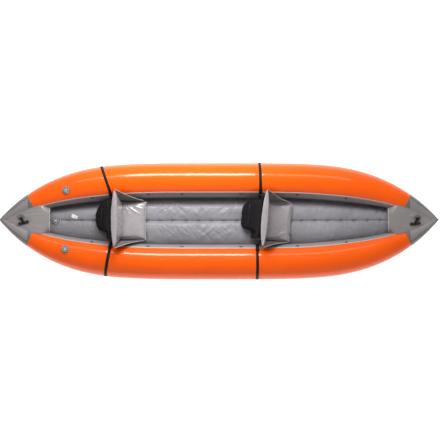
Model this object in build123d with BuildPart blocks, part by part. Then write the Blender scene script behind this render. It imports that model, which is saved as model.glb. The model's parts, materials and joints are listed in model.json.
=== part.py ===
"""Two-person self-bailing inflatable kayak, in millimetres.

+X points to the bow, +Y to port and +Z up. The origin is on the ground under the middle of the hull.
Pieces on the port side are drawn first and mirrored to starboard.
"""

import os
from math import atan, ceil, cos, degrees, floor, radians, sin, sqrt

from build123d import *

# Hull
half_length = 1893.0  # middle of the hull to the tip of a nose cone
cockpit_half_width = 210.0  # middle of the hull to the inner side of a tube
tube_radius = 152.5
end_rise = 137.5  # how far a tube's axis climbs from the middle to the tip
tip_radius = 20.0
taper_length = 1023.0  # from the tip to where a tube starts to narrow
plan_power = 4.0  # how suddenly the tubes close in towards the tips, seen from above
rise_power = 3.0
taper_power = 2.2
nose_length = 233.0  # tip to the open end of a tube skin
nose_overlap = 26.0  # how far a nose cone laps over the skin

# Fabric and fits
skin_wall = 2.0
cell_wall = 1.2
nose_wall = 2.2
layer_gap = 0.8  # between a skin and the air cell inside it
lap_gap = 0.4  # between a skin and what is welded on it
strip_wall = 1.3
strip_gap = 0.7  # between a skin and its gray strip
air_cell_end = 68.0  # tip of the nose cone to the end of an air cell

# Floor
floor_thickness = 100.0
floor_ground_gap = 20.0  # under the floor at the middle of the hull
floor_side_gap = 29.0  # floor seam to tube, bridged by the flange
floor_setback = 350.0  # tip to the end of the floor
floor_end_thickness = 78.0
floor_wall = 2.0
seam_dip = 16.0  # how deep the centre seam sits under the crowns
flange_thickness = 2.0
grommet_pitch = 193.0
grommet_first = -1351.0
grommet_count = 15
grommet_radius = 7.0
grommet_bore = 4.0
grommet_rim = 1.0
slot_length = 84.0

# Decks
deck_setback = 390.0  # tip to a deck's open edge
deck_thickness = 3.0
deck_angle = 40.0  # where a deck meets the tubes, from the crown towards the cockpit
deck_edge_half_width = 86.0
piping_radius = 3.5

# Gray strips along the inner sides of the tubes
strip_start_angle = 49.0
strip_end_angle = 119.0

# Seats: where each backrest's hinge line lies
seat_x = {"front": 412.0, "rear": -863.0}
seat_turn = {"front": 5.0, "rear": 0.0}  # about Z, with the port side forward
seat_side_gap = 40.0  # cushion to tube
cushion_length = 290.0
cushion_thickness = 60.0
cushion_behind_hinge = 67.0
cushion_fillet = 17.0
cushion_lift = 2.6  # above the floor's crowns
backrest_thickness = 50.0
backrest_height = 236.0
backrest_flare = 90.0  # how much wider each side of the backrest is at its top
backrest_recline = 6.0
backrest_fillet = 20.0
backrest_lift = 0.7  # gap between the turning backrest and the cushion
wing_wall = 2.5
wing_gap = 3.0
pouch_depth = 195.0
pouch_height = 190.0
pouch_drop = 70.0  # how far the bag hangs below the hinge line

# Straps round the tubes
strap_width = 25.0
strap_wall = 2.0
straps = {  # where each crosses its tube's axis, and its slant
    ("front", "port"): (360.0, 2.0),
    ("front", "starboard"): (333.0, 0.0),
    ("rear", "port"): (-982.0, 13.0),
    ("rear", "starboard"): (-963.0, 4.0),
}
strap_lift = 2.6  # strap above the skin, so that it clears the gray strip
buckle_angle = 44.0
buckle_length = 36.0
buckle_wall = 2.0
ear_height = 10.0
cam_pin_radius = 1.6
pin_clearance = 0.08

# Valves
valve_x = -1335.0
valve_lean = 8.0  # from the crown towards the cockpit
floor_valve_x = -1434.0
floor_valve_lift = 4.5  # the valve sits on a boss that clears the crowns beside the seam
valve_flange_radius = 33.0
valve_barrel_radius = 22.0
valve_bore = 18.5
valve_depth = 26.0
valve_rim = 4.0
valve_stem_radius = 4.0
valve_travel = 6.0
cap_radius = 29.0
cap_height = 9.0

lug_radius = 2.4
lug_width = 3.6
knuckle_length = 8.0
hinge_pin_radius = 1.4
seat_valve_radius = 13.0
seat_valve_y = -90.0

# Toggle handles: the anchor, the middle of the grip and the angle of the grip, seen from above
toggles = {"bow": ((1712.0, 14.0), (1688.0, -34.0), 7.0), "stern": ((-1706.0, 18.0), (-1681.0, -26.0), 14.0)}
grip_length = 92.0
grip_radius = 12.5
toggle_webbing = 18.0
anchor_width = 34.0
anchor_wall = 1.6

# Cargo loops on the gray strips, and tow loops on the tips
cargo_loop_xs = (-1130.0, -620.0, -323.0, 192.0, 690.0, 1130.0)
cargo_loop_angle = 58.0
tow_loop_length = 7.0  # how far a tow loop stands out of a tip

# Zip under each tube
zip_half_length = 210.0
zip_angle = -125.0  # from the crown; negative is outboard
chain_width = 6.0
chain_height = 3.0
slider_length = 26.0
pull_length = 16.0

# What follows from these
tube_reach = half_length - tip_radius - nose_wall - lap_gap
tube_offset = cockpit_half_width + tube_radius
strap_proud = strap_lift + strap_wall
skin_end = half_length - nose_length
taper_start = half_length - taper_length
floor_end = half_length - floor_setback
floor_height = floor_ground_gap + floor_thickness / 2
cushion_half_width = cockpit_half_width - seat_side_gap
UP = Vector(0, 0, 1)


def tube_climb(s):
    """How far the hull has climbed at s, measured along X from its middle."""
    return end_rise * (abs(s) / tube_reach) ** rise_power


axis_height = tube_radius + strap_proud - min(tube_climb(abs(x) - strap_width / 2) for x, _ in straps.values())
floor_drop = axis_height - floor_height


def tube_centre(s):
    inward = (abs(s) / tube_reach) ** plan_power
    return Vector(s, tube_offset * (1 - inward), axis_height + tube_climb(s))


def tube_heading(s):
    """Direction of the port tube's axis at s, towards the bow."""
    share, way = abs(s) / tube_reach, 1 if s >= 0 else -1
    inward = -way * tube_offset * plan_power * share ** (plan_power - 1) / tube_reach
    climb = way * end_rise * rise_power * share ** (rise_power - 1) / tube_reach
    return Vector(1, inward, climb).normalized()


def tube_size(s):
    """The tube's radius at s."""
    into = max(0.0, abs(s) - taper_start) / (tube_reach - taper_start)
    return tube_radius - (tube_radius - tip_radius) * into**taper_power


def tube_plane(s):
    """A plane square to the port tube's axis: x is outboard and y is up."""
    heading = tube_heading(s)
    return Plane(tube_centre(s), x_dir=UP.cross(heading), z_dir=heading)


def surface_plane(s, angle, lift=0.0):
    """A plane on the port tube, angle degrees from its crown towards the cockpit: z is out of it, x along it."""
    section = tube_plane(s)
    out = section.y_dir * cos(radians(angle)) - section.x_dir * sin(radians(angle))
    slope = (tube_size(s + 1) - tube_size(s - 1)) / 2
    along = (section.z_dir + out * slope).normalized()
    return Plane(tube_centre(s) + out * (tube_size(s) + lift), x_dir=along, z_dir=out - section.z_dir * slope)


def stations(start, stop, pitch=120.0):
    """Places for the sections of a loft: its two ends and the steps of one common grid between them."""
    steps = range(ceil((start + pitch / 3) / pitch), floor((stop - pitch / 3) / pitch) + 1)
    between = [step * pitch for step in steps] or [(start + stop) / 2]
    return [start, *between, stop]


def tube_form(start, stop, grow):
    """The port tube between two stations as a solid, grown by an amount."""
    with BuildPart() as form:
        for s in stations(start, stop):
            with BuildSketch(tube_plane(s)):
                Circle(tube_size(s) + grow)
        loft()
    return form.part


def tube_band(start, stop, from_angle, to_angle, low, high):
    """A strip that lies on the port tube between two angles from its crown."""
    with BuildPart() as band:
        for s in stations(start, stop):
            with BuildSketch(tube_plane(s)):
                with BuildLine():
                    inner = CenterArc((0, 0), tube_size(s) + low, 90 + from_angle, to_angle - from_angle)
                    outer = CenterArc((0, 0), tube_size(s) + high, 90 + from_angle, to_angle - from_angle)
                    Line(inner @ 0, outer @ 0)
                    Line(inner @ 1, outer @ 1)
                make_face()
        loft()
    return band.part


def floor_plane(x):
    return Plane((x, 0, floor_height + tube_climb(x)), x_dir=(0, 1, 0), z_dir=(1, 0, 0))


def flange_reach(x):
    """Half the width between the tubes at the height of the floor's seams."""
    heading = tube_heading(x)
    chord = sqrt(max(0.0, tube_size(x) ** 2 - floor_drop**2))
    return tube_centre(x).Y - chord / (heading.X / sqrt(heading.X**2 + heading.Y**2))


def floor_half_width(x):
    return flange_reach(x) - floor_side_gap


def floor_heights(x):
    """Half thickness of the floor at its crowns and at its centre line."""
    share = (abs(x) / floor_end) ** 4
    crown = floor_thickness / 2 + (floor_end_thickness / 2 - floor_thickness / 2) * share
    return crown * (1 - 0.16 * share), crown - seam_dip * (1 - share)


def floor_section(x, inset, web=None):
    """The floor's section: a lens with a crown on each side of the centre seam, or its half beside a web."""
    width = floor_half_width(x) - 2 * inset
    crown, middle = (h - inset for h in floor_heights(x))
    with BuildSketch(floor_plane(x)) as section:
        with BuildLine():
            if web is None:
                for way in (1, -1):
                    ThreePointArc((-width, 0), (-width / 2, way * crown), (0, way * middle))
                    ThreePointArc((0, way * middle), (width / 2, way * crown), (width, 0))
            else:
                ThreePointArc((web, middle), (width / 2, crown), (width, 0))
                ThreePointArc((width, 0), (width / 2, -crown), (web, -middle))
                Line((web, -middle), (web, middle))
        make_face()
    return section.sketch


def floor_form(start, stop, inset, web=None):
    with BuildPart() as form:
        loft([floor_section(x, inset, web) for x in stations(start, stop)])
    return form.part


made = {}


def keep(name, part):
    """Files a finished piece under the name of its node."""
    part.label = name
    made[name] = part
    return part


def both_sides(name, part):
    keep(f"port_{name}", part)
    keep(f"starboard_{name}", part.mirror(Plane.XZ))


def grouped(*parts):
    """Several separate solids as one part."""
    with BuildPart() as group:
        for part in parts:
            add(part)
    return group.part


# ---- valves ----------------------------------------------------------------------------------------------


def valve_places():
    """The plane of each valve: on the port tube, and on the aft end of the floor."""
    slope = (tube_climb(floor_valve_x + 1) - tube_climb(floor_valve_x - 1)) / 2
    lift = floor_heights(floor_valve_x)[1] + floor_valve_lift
    origin = floor_plane(floor_valve_x).origin + UP * lift
    floor_place = Plane(origin, x_dir=(1, 0, slope), z_dir=(-slope, 0, 1))
    return {"port": surface_plane(valve_x, valve_lean), "floor": floor_place}


def plug(place, low, high, radius):
    """A round block along a valve's axis."""
    with BuildPart() as block:
        with BuildSketch(place.offset(low)):
            Circle(radius)
        extrude(amount=high - low)
    return block.part


def valve_hole(place):
    """What a valve's barrel cuts out of the walls that it passes through."""
    return plug(place, -16, 8, valve_barrel_radius + 0.5)


def hinge_plane(place, reach, height):
    """A plane square to a cap's pin, which lies reach to the -y side of the cap's axis."""
    return Plane(place.from_local_coords(Vector(0, -reach, height)), x_dir=place.y_dir, z_dir=place.x_dir)


def hinge_lugs(place, reach, height, foot):
    """Two lugs for a cap's pin, down to the level of a foot."""
    pin = hinge_plane(place, reach, height)
    with BuildPart() as lugs:
        for low in (knuckle_length / 2 + 0.4, -knuckle_length / 2 - 0.4 - lug_width):
            with BuildSketch(pin.offset(low)):
                Circle(lug_radius)
                with Locations((0, -(height - foot) / 2)):
                    Rectangle(2 * lug_radius, height - foot)
                Circle(hinge_pin_radius + pin_clearance, mode=Mode.SUBTRACT)
            extrude(amount=lug_width)
    return lugs.part


def cap_knuckle(place, reach, height, edge):
    """A cap's knuckle with its pin, and the tab that joins them to the cap's edge."""
    pin = hinge_plane(place, reach, height)
    pin_length = knuckle_length + 0.8 + 2 * lug_width
    with BuildPart() as knuckle:
        with BuildSketch(pin.offset(-knuckle_length / 2)):
            Circle(lug_radius)
            with Locations(((reach - edge) / 2 + 1, 0)):
                Rectangle(reach - edge + 2, lug_radius)
        extrude(amount=knuckle_length)
        with BuildSketch(pin.offset(-pin_length / 2)):
            Circle(hinge_pin_radius)
        extrude(amount=pin_length)
    return knuckle.part


web_low, web_high = -13.0, -10.0  # the spider that guides a valve's stem
stem_top = -2.0
cap_reach, cap_pin_height = 31.5, valve_rim + 2.6


def valve_body(place, surface):
    with BuildPart() as body:
        with BuildSketch(place.offset(-12)):
            Circle(valve_flange_radius)
        extrude(amount=12 + valve_rim)
        add(surface, mode=Mode.SUBTRACT)
        add(plug(place, -valve_depth, valve_rim, valve_barrel_radius))
        add(hinge_lugs(place, cap_reach, cap_pin_height, valve_rim - 2))
        with BuildSketch(place.offset(web_high)):
            Circle(valve_bore)
        extrude(amount=valve_rim - web_high, mode=Mode.SUBTRACT)
        with BuildSketch(place.offset(-valve_depth)):
            Circle(valve_bore)
        extrude(amount=valve_depth + web_low, mode=Mode.SUBTRACT)
        with BuildSketch(place.offset(web_low)):
            Circle(valve_stem_radius + pin_clearance)
            with PolarLocations(valve_bore * 0.6, 3):
                Circle(valve_bore * 0.27)
        extrude(amount=web_high - web_low, mode=Mode.SUBTRACT)
    return body.part


def valve_nut(place):
    with BuildPart() as nut:
        with BuildSketch(place.offset(-15)):
            Circle(valve_flange_radius - 4)
            Circle(valve_barrel_radius + 0.2, mode=Mode.SUBTRACT)
        extrude(amount=6)
    return nut.part


def valve_cap(place):
    """A bayonet cap with a five-lobed grip and a skirt that enters the bore."""
    with BuildPart() as cap:
        with BuildSketch(place.offset(valve_rim + 0.3)):
            Circle(cap_radius)
        extrude(amount=cap_height * 0.45)
        with BuildSketch(place.offset(valve_rim + 0.3 + cap_height * 0.45)):
            Circle(cap_radius * 0.42)
            with PolarLocations(cap_radius * 0.45, 5):
                SlotOverall(cap_radius * 0.72, cap_radius * 0.3)
        extrude(amount=cap_height * 0.55)
        fillet(cap.faces().sort_by(Axis(place.origin, place.z_dir))[-1].edges(), radius=1.2)
        with BuildSketch(place.offset(0.3)):
            Circle(valve_bore - 0.8)
            Circle(valve_bore - 3, mode=Mode.SUBTRACT)
        extrude(amount=valve_rim)
        add(cap_knuckle(place, cap_reach, cap_pin_height, cap_radius))
    return cap.part


def valve_plunger(place):
    """Push stem with its sealing disc below the barrel and a collar for the spring."""
    with BuildPart() as plunger:
        with BuildSketch(place.offset(-valve_depth - 3.3)):
            Circle(valve_bore + 2)
        extrude(amount=3)
        with BuildSketch(place.offset(-valve_depth - 0.5)):
            Circle(valve_stem_radius)
        extrude(amount=valve_depth + 0.5 + stem_top)
        with BuildSketch(place.offset(stem_top - 1.2)):
            Circle(valve_stem_radius + 3.4)
        extrude(amount=1.2)
    return plunger.part


def valve_spring(place):
    low, high = web_high + 1.1, stem_top - 2.4
    with BuildPart() as spring:
        with BuildLine(place.offset(low)) as coil:
            Helix(pitch=(high - low) / 3, height=high - low, radius=valve_stem_radius + 2)
        with BuildSketch(Plane(coil.line @ 0, z_dir=coil.line % 0)):
            Circle(0.5)
        sweep()
    return spring.part


# ---- tubes and noses -------------------------------------------------------------------------------------

places = valve_places()

with BuildPart() as tube_skin:
    add(tube_form(-skin_end, skin_end, 0))
    add(tube_form(-skin_end, skin_end, -skin_wall), mode=Mode.SUBTRACT)
    add(valve_hole(places["port"]), mode=Mode.SUBTRACT)
both_sides("tube_skin", tube_skin.part)

cell_out = skin_wall + layer_gap
cell_end = tube_reach - air_cell_end
with BuildPart() as air_cell:
    add(tube_form(-cell_end, cell_end, -cell_out))
    add(tube_form(3 - cell_end, cell_end - 3, -cell_out - cell_wall), mode=Mode.SUBTRACT)
    add(valve_hole(places["port"]), mode=Mode.SUBTRACT)
both_sides("air_cell", air_cell.part)

nose_start = skin_end - nose_overlap
nose_void = tube_form(nose_start - 5, tube_reach - 42, lap_gap)
with BuildPart() as nose:
    add(tube_form(nose_start, tube_reach, lap_gap + nose_wall))
    mirror(about=Plane.XZ)
    with Locations(tube_centre(tube_reach)):
        Sphere(tip_radius + lap_gap + nose_wall)
    add(nose_void, mode=Mode.SUBTRACT)
    add(nose_void.mirror(Plane.XZ), mode=Mode.SUBTRACT)
keep("bow_nose_cone", nose.part)
keep("stern_nose_cone", nose.part.mirror(Plane.YZ))

strip_end = nose_start - 6
strip_top = strip_gap + strip_wall
strip = tube_band(-strip_end, strip_end, strip_start_angle, strip_end_angle, strip_gap, strip_top)
both_sides("inner_strip", strip)


def make_cargo_loop(x):
    """A welded patch on the gray strip with an arch of webbing on it."""
    low, angle = strip_top + 0.2, cargo_loop_angle
    with BuildPart() as loop:
        add(tube_band(x - 17, x + 17, angle - 6, angle + 6, low, low + 1.2))
        add(tube_band(x - 9, x + 9, angle - 4, angle + 4, low + 0.5, low + 6))
        add(tube_band(x - 12, x + 12, angle - 3, angle + 3, low + 1.5, low + 4.6), mode=Mode.SUBTRACT)
    return loop.part


loops = [make_cargo_loop(x) for x in cargo_loop_xs]
keep("cargo_loops", grouped(*loops, *[loop.mirror(Plane.XZ) for loop in loops]))

tip = tube_centre(tube_reach)
with BuildPart() as tow_loop:
    with Locations(tip + Vector(tip_radius, 0, 0)):
        Box(2 * (nose_wall + lap_gap + tow_loop_length), 9, 26)
    with Locations(tip):
        Sphere(tip_radius + 2 * lap_gap + nose_wall, mode=Mode.SUBTRACT)
    with Locations(tip + Vector(tip_radius + nose_wall + lap_gap + tow_loop_length / 2, 0, 0)):
        Box(3, 20, 14, mode=Mode.SUBTRACT)
bow_loop = tow_loop.part
keep("tow_loops", grouped(bow_loop, bow_loop.mirror(Plane.YZ)))

# ---- decks -----------------------------------------------------------------------------------------------


def deck_half_width(x):
    """Where a deck meets the outside of the nose cone, deck_angle from the tube's crown."""
    return tube_centre(x).Y - tube_size(x) * sin(radians(deck_angle))


deck_edge = half_length - deck_setback
deck_height = tube_centre(deck_edge).Z + tube_size(deck_edge) * cos(radians(deck_angle))

nose_form = tube_form(deck_edge - 60, tube_reach, 2 * lap_gap + nose_wall)

with BuildPart() as deck:
    with BuildSketch(Plane.XY.offset(deck_height)):
        with BuildLine():
            widest = deck_edge + 62
            edge = Line((deck_edge, -deck_edge_half_width), (deck_edge, deck_edge_half_width))
            side = [(x, deck_half_width(x)) for x in (widest, (widest + tube_reach) / 2)] + [(tube_reach, 0)]
            for way in (1, -1):
                corner = edge @ (1 if way > 0 else 0)
                ThreePointArc(corner, (deck_edge + 10, way * (deck_edge_half_width + 26)),
                              (widest, way * side[0][1]))
                Polyline([(x, way * y) for x, y in side])
        make_face()
    extrude(amount=deck_thickness)
    add(nose_form, mode=Mode.SUBTRACT)
    add(nose_form.mirror(Plane.XZ), mode=Mode.SUBTRACT)
deck_panel = grouped(deck.solids().sort_by(SortBy.VOLUME)[-1])
keep("bow_deck_panel", deck_panel)
keep("stern_deck_panel", deck_panel.mirror(Plane.YZ))

with BuildPart() as piping:
    bead_x = deck_edge - piping_radius - 0.2
    with BuildSketch(Plane((bead_x, -deck_edge_half_width, deck_height + deck_thickness / 2),
                           x_dir=(1, 0, 0), z_dir=(0, 1, 0))):
        Circle(piping_radius)
    extrude(amount=2 * deck_edge_half_width)
    fillet(piping.edges(), radius=piping_radius * 0.6)
keep("deck_edge_piping", grouped(piping.part, piping.part.mirror(Plane.YZ)))

# ---- floor -----------------------------------------------------------------------------------------------

with BuildPart() as floor_sleeve:
    add(floor_form(-floor_end, floor_end, 0))
    add(floor_form(floor_wall - floor_end, floor_end - floor_wall, floor_wall), mode=Mode.SUBTRACT)
    add(valve_hole(places["floor"]), mode=Mode.SUBTRACT)
keep("floor_sleeve", floor_sleeve.part)

cell_inset = floor_wall + layer_gap
chamber_end = floor_end - cell_inset - cell_wall
chamber = floor_form(-chamber_end, chamber_end, cell_inset + cell_wall, 1.0)
with BuildPart() as floor_cell:
    add(floor_form(cell_inset - floor_end, floor_end - cell_inset, cell_inset))
    add(chamber, mode=Mode.SUBTRACT)
    add(chamber.mirror(Plane.XZ), mode=Mode.SUBTRACT)
    add(valve_hole(places["floor"]), mode=Mode.SUBTRACT)
    add(plug(places["floor"], -42, -8, valve_flange_radius), mode=Mode.SUBTRACT)
keep("floor_air_cell", floor_cell.part)

grommet_xs = [grommet_first + i * grommet_pitch for i in range(grommet_count)]
grommet_xs = [x for x in grommet_xs if all(abs(x - at) > 3 * strap_width for at, _ in straps.values())]

with BuildPart() as flange:
    flange_end = floor_end - 25
    for x in stations(-flange_end, flange_end):
        low, high = floor_half_width(x) + lap_gap, flange_reach(x) - 1.5
        with BuildSketch(floor_plane(x)):
            with Locations(((low + high) / 2, 0)):
                Rectangle(high - low, flange_thickness)
    loft()
    for x in [a + grommet_pitch / 2 for a in grommet_xs[:-1]]:
        with Locations((x, floor_half_width(x) + floor_side_gap * 0.62, floor_height + tube_climb(x))):
            Box(slot_length, floor_side_gap * 0.4, 40, mode=Mode.SUBTRACT)
    for x, slant in straps.values():
        foot = x + sin(radians(slant)) * (tube_offset - flange_reach(x))
        with Locations((foot, flange_reach(x), floor_height + tube_climb(x))):
            Box(2.6 * strap_width, 24, 60, mode=Mode.SUBTRACT)
    for x in grommet_xs:
        with Locations((x, floor_half_width(x) + floor_side_gap * 0.5, floor_height + tube_climb(x))):
            Cylinder(grommet_bore + 0.8, 30, mode=Mode.SUBTRACT)
both_sides("floor_flange", flange.part)


def grommet(x):
    """An eyelet clamped on both sides of the flange."""
    slope = (tube_climb(x + 1) - tube_climb(x - 1)) / 2
    at = (x, floor_half_width(x) + floor_side_gap * 0.5, floor_height + tube_climb(x))
    place = Plane(at, x_dir=(1, 0, slope), z_dir=(-slope, 0, 1))
    top = flange_thickness / 2 + grommet_rim + 0.2
    with BuildPart() as eyelet:
        for low in (top - grommet_rim, -top):
            with BuildSketch(place.offset(low)):
                Circle(grommet_radius)
            extrude(amount=grommet_rim)
        for radius, mode in ((grommet_bore + 0.6, Mode.ADD), (grommet_bore, Mode.SUBTRACT)):
            with BuildSketch(place.offset(-top)):
                Circle(radius)
            extrude(amount=2 * top, mode=mode)
    return eyelet.part


grommets = [grommet(x) for x in grommet_xs]
keep("flange_grommets", grouped(*grommets, *[g.mirror(Plane.XZ) for g in grommets]))

# ---- valve pieces ----------------------------------------------------------------------------------------

surfaces = {
    "port": tube_form(valve_x - 90, valve_x + 90, lap_gap),
    "floor": floor_form(floor_valve_x - 60, floor_valve_x + 60, -lap_gap),
}
for where, place in places.items():
    pieces = {
        "valve_body": valve_body(place, surfaces[where]),
        "valve_cap": valve_cap(place),
        "valve_plunger": valve_plunger(place),
        "valve_spring": valve_spring(place),
    }
    for name, piece in pieces.items():
        if where == "port":
            both_sides(name, piece)
        else:
            keep(f"floor_{name}", piece)
port_nut = valve_nut(places["port"])
keep("valve_nuts", grouped(port_nut, port_nut.mirror(Plane.XZ), valve_nut(places["floor"])))

# ---- seats -----------------------------------------------------------------------------------------------

hinge_drop = sqrt(2) * (backrest_thickness / 2 - backrest_fillet) + backrest_fillet + backrest_lift


def cushion_base(seat):
    """Height of the floor's crown under the end of the cushion that sits highest."""
    ends = (seat_x[seat] - cushion_behind_hinge, seat_x[seat] - cushion_behind_hinge + cushion_length)
    return floor_height + floor_thickness / 2 + max(tube_climb(x) for x in ends) + cushion_lift


def hinge_point(seat):
    return Vector(seat_x[seat], 0, cushion_base(seat) + cushion_thickness + hinge_drop)


def back_plane(seat):
    """The middle plane of a backrest: x to port, y up it, z forward."""
    lean = radians(backrest_recline)
    return Plane(hinge_point(seat), x_dir=(0, 1, 0), z_dir=(cos(lean), 0, sin(lean)))


def make_cushion(seat):
    start = seat_x[seat] - cushion_behind_hinge
    with BuildPart() as cushion:
        with Locations((start + cushion_length / 2, 0, cushion_base(seat) + cushion_thickness / 2)):
            Box(cushion_length, 2 * cushion_half_width, cushion_thickness)
        fillet(cushion.edges(), radius=cushion_fillet)
    return cushion.part


def make_backrest(seat):
    base, top = cushion_half_width - 5, cushion_half_width - 5 + backrest_flare
    foot = -backrest_thickness / 2
    with BuildPart() as backrest:
        with BuildSketch(back_plane(seat)) as outline:
            with BuildLine():
                Polyline((-base, foot), (base, foot), (top, backrest_height), (-top, backrest_height),
                         close=True)
            make_face()
            fillet(outline.vertices(), radius=26)
        extrude(amount=backrest_thickness / 2, both=True)
        fillet(backrest.edges().filter_by(lambda e: abs(
            back_plane(seat).to_local_coords(e.center()).Z) > backrest_thickness / 2 - 1),
            radius=backrest_fillet)
    return backrest.part


def make_wing(seat):
    """The port side wing: a triangle from the cushion's side up to the backrest's corner."""
    top_z = backrest_height - 18
    back = back_plane(seat)
    low = cushion_base(seat) + cushion_thickness - cushion_fillet
    out = cushion_half_width + wing_gap
    hinge = Vector(seat_x[seat], out, low)
    front = Vector(seat_x[seat] - cushion_behind_hinge + cushion_length - 8, out, low)
    corner = back.from_local_coords(Vector(out + backrest_flare - 4, top_z, 0))
    normal = (corner - hinge).cross(front - hinge).normalized()
    normal = normal if normal.Y > 0 else normal * -1
    sheet = Plane(hinge, x_dir=front - hinge, z_dir=normal)
    with BuildPart() as wing:
        with BuildSketch(sheet):
            with BuildLine():
                Polyline([sheet.to_local_coords(p) for p in (hinge, front, corner)], close=True)
            make_face()
        extrude(amount=wing_wall)
    return wing.part


def make_pouch(seat):
    """The bag behind a backrest, deepest at its foot and shallow on the starboard side."""
    at = hinge_point(seat)
    back = -backrest_thickness / 2 - 2.5
    lean = -sin(radians(backrest_recline)) * pouch_height
    side, rear_end = 0.95 * cushion_half_width, cushion_behind_hinge + 4
    with BuildPart() as pouch:
        for depth, low, high in ((pouch_depth, -0.5 * side, side), (0.6 * pouch_depth, -side, -0.5 * side)):
            with BuildSketch(Plane(at + Vector(0, low, 0), x_dir=(1, 0, 0), z_dir=(0, -1, 0))):
                with BuildLine():
                    Polyline((back + lean - 2, pouch_height), (back - 2, -12), (-rear_end, -20),
                             (-rear_end - 14, -pouch_drop), (back - depth, -pouch_drop),
                             (back - depth - 6, -20), (back + lean - 14, pouch_height), close=True)
                make_face()
            extrude(amount=low - high)
    return pouch.part


def make_tube_strap(x, slant):
    """A webbing loop round the port tube, over the gray strip."""
    heading = tube_heading(x)
    turn = degrees(atan(heading.Y / heading.X)) + slant
    with BuildPart() as strap:
        add(tube_form(x - 110, x + 110, strap_lift + strap_wall))
        add(tube_form(x - 110, x + 110, strap_lift), mode=Mode.SUBTRACT)
        with Locations(Location(tube_centre(x), (0, 0, turn))):
            Box(strap_width, 3 * tube_radius, 3 * tube_radius, mode=Mode.INTERSECT)
    return strap.part


def buckle_plane(x, slant):
    """Where a cam buckle sits: z out of the tube, x along the tube, y up round it."""
    shift = sin(radians(slant)) * tube_radius * sin(radians(buckle_angle))
    return surface_plane(x + shift, buckle_angle, strap_lift + strap_wall + 1.4)


cam_axis_height = 6.0


def make_buckle_frame(place):
    inside = strap_width + 2
    with BuildPart() as frame:
        with BuildSketch(place):
            Rectangle(inside + 2 * buckle_wall, buckle_length)
        extrude(amount=buckle_wall)
        with BuildSketch(place.offset(buckle_wall)):
            with Locations((-(inside + buckle_wall) / 2, 0), ((inside + buckle_wall) / 2, 0)):
                Rectangle(buckle_wall, buckle_length * 0.6)
        extrude(amount=ear_height)
        pin = Plane(place.origin + place.z_dir * (buckle_wall + cam_axis_height), z_dir=place.x_dir)
        with BuildSketch(pin.offset(-inside)):
            Circle(cam_pin_radius + pin_clearance)
        extrude(amount=2 * inside, mode=Mode.SUBTRACT)
    return frame.part


def make_cam_lever(place):
    """The cam: a short drum on its own pins, with a thumb plate that lies along the strap."""
    inside = strap_width + 2
    pin = Plane(place.origin + place.z_dir * (buckle_wall + cam_axis_height), x_dir=place.y_dir,
                z_dir=place.x_dir)
    width = inside - 1
    with BuildPart() as lever:
        with BuildSketch(pin.offset(-width / 2)):
            Circle(4.2)
            with Locations((9, 3.2)):
                Rectangle(18, 2)
        extrude(amount=width)
        with BuildSketch(pin.offset(-inside / 2 - buckle_wall)):
            Circle(cam_pin_radius)
        extrude(amount=inside + 2 * buckle_wall)
    return lever.part


def make_back_strap(seat, place, side):
    """Webbing from a buckle to the back of the backrest; side is 1 for port and -1 for starboard."""
    start = place.origin - place.y_dir * (buckle_length / 2 + 14) + place.z_dir
    start = Vector(start.X, side * start.Y, start.Z)
    hinge = hinge_point(seat)
    fixing = Vector(side * (cushion_half_width + 26), backrest_height * 0.55, -backrest_thickness / 2 - 12)
    end = hinge + (back_plane(seat).from_local_coords(fixing) - hinge).rotate(Axis.Z, -seat_turn[seat])
    run = end - start
    with BuildPart() as strap:
        with BuildSketch(Plane(start, x_dir=UP.cross(run).cross(run), z_dir=run)):
            Rectangle(strap_width, strap_wall)
        extrude(amount=run.length)
    return strap.part


def seat_valve_place(seat):
    """On the front face of the cushion."""
    front = seat_x[seat] - cushion_behind_hinge + cushion_length
    at = (front + lap_gap, seat_valve_y, cushion_base(seat) + cushion_thickness / 2)
    return Plane(at, x_dir=(0, 1, 0), z_dir=(1, 0, 0))


seat_rim, seat_bore = 4.0, 5.5
seat_reach, seat_pin_height = seat_valve_radius + 0.8, seat_rim + 2.6


def make_seat_valve_body(place):
    with BuildPart() as body:
        add(plug(place, 0, seat_rim, seat_valve_radius))
        add(hinge_lugs(place, seat_reach, seat_pin_height, 1.0))
        add(plug(place, -1, seat_rim + 1, seat_bore), mode=Mode.SUBTRACT)
    return body.part


def make_seat_valve_cap(place):
    with BuildPart() as cap:
        add(plug(place, seat_rim + 0.3, seat_rim + 3, seat_valve_radius - 2.2))
        add(plug(place, seat_rim - 2, seat_rim + 0.3, seat_bore - 0.7))
        add(cap_knuckle(place, seat_reach, seat_pin_height, seat_valve_radius - 2.2))
    return cap.part


def turned(seat, part):
    """A seat's part, turned with its seat."""
    return part.rotate(Axis(hinge_point(seat), (0, 0, 1)), -seat_turn[seat])


for seat in seat_x:
    keep(f"{seat}_seat_cushion", turned(seat, make_cushion(seat)))
    keep(f"{seat}_backrest", turned(seat, make_backrest(seat)))
    wing = make_wing(seat)
    keep(f"{seat}_seat_wings", turned(seat, grouped(wing, wing.mirror(Plane.XZ))))
    keep(f"{seat}_gear_pouch", turned(seat, make_pouch(seat)))
    keep(f"{seat}_seat_valve_cap", turned(seat, make_seat_valve_cap(seat_valve_place(seat))))
seat_valves = [turned(seat, make_seat_valve_body(seat_valve_place(seat))) for seat in seat_x]
keep("seat_valve_bodies", grouped(*seat_valves))

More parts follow.
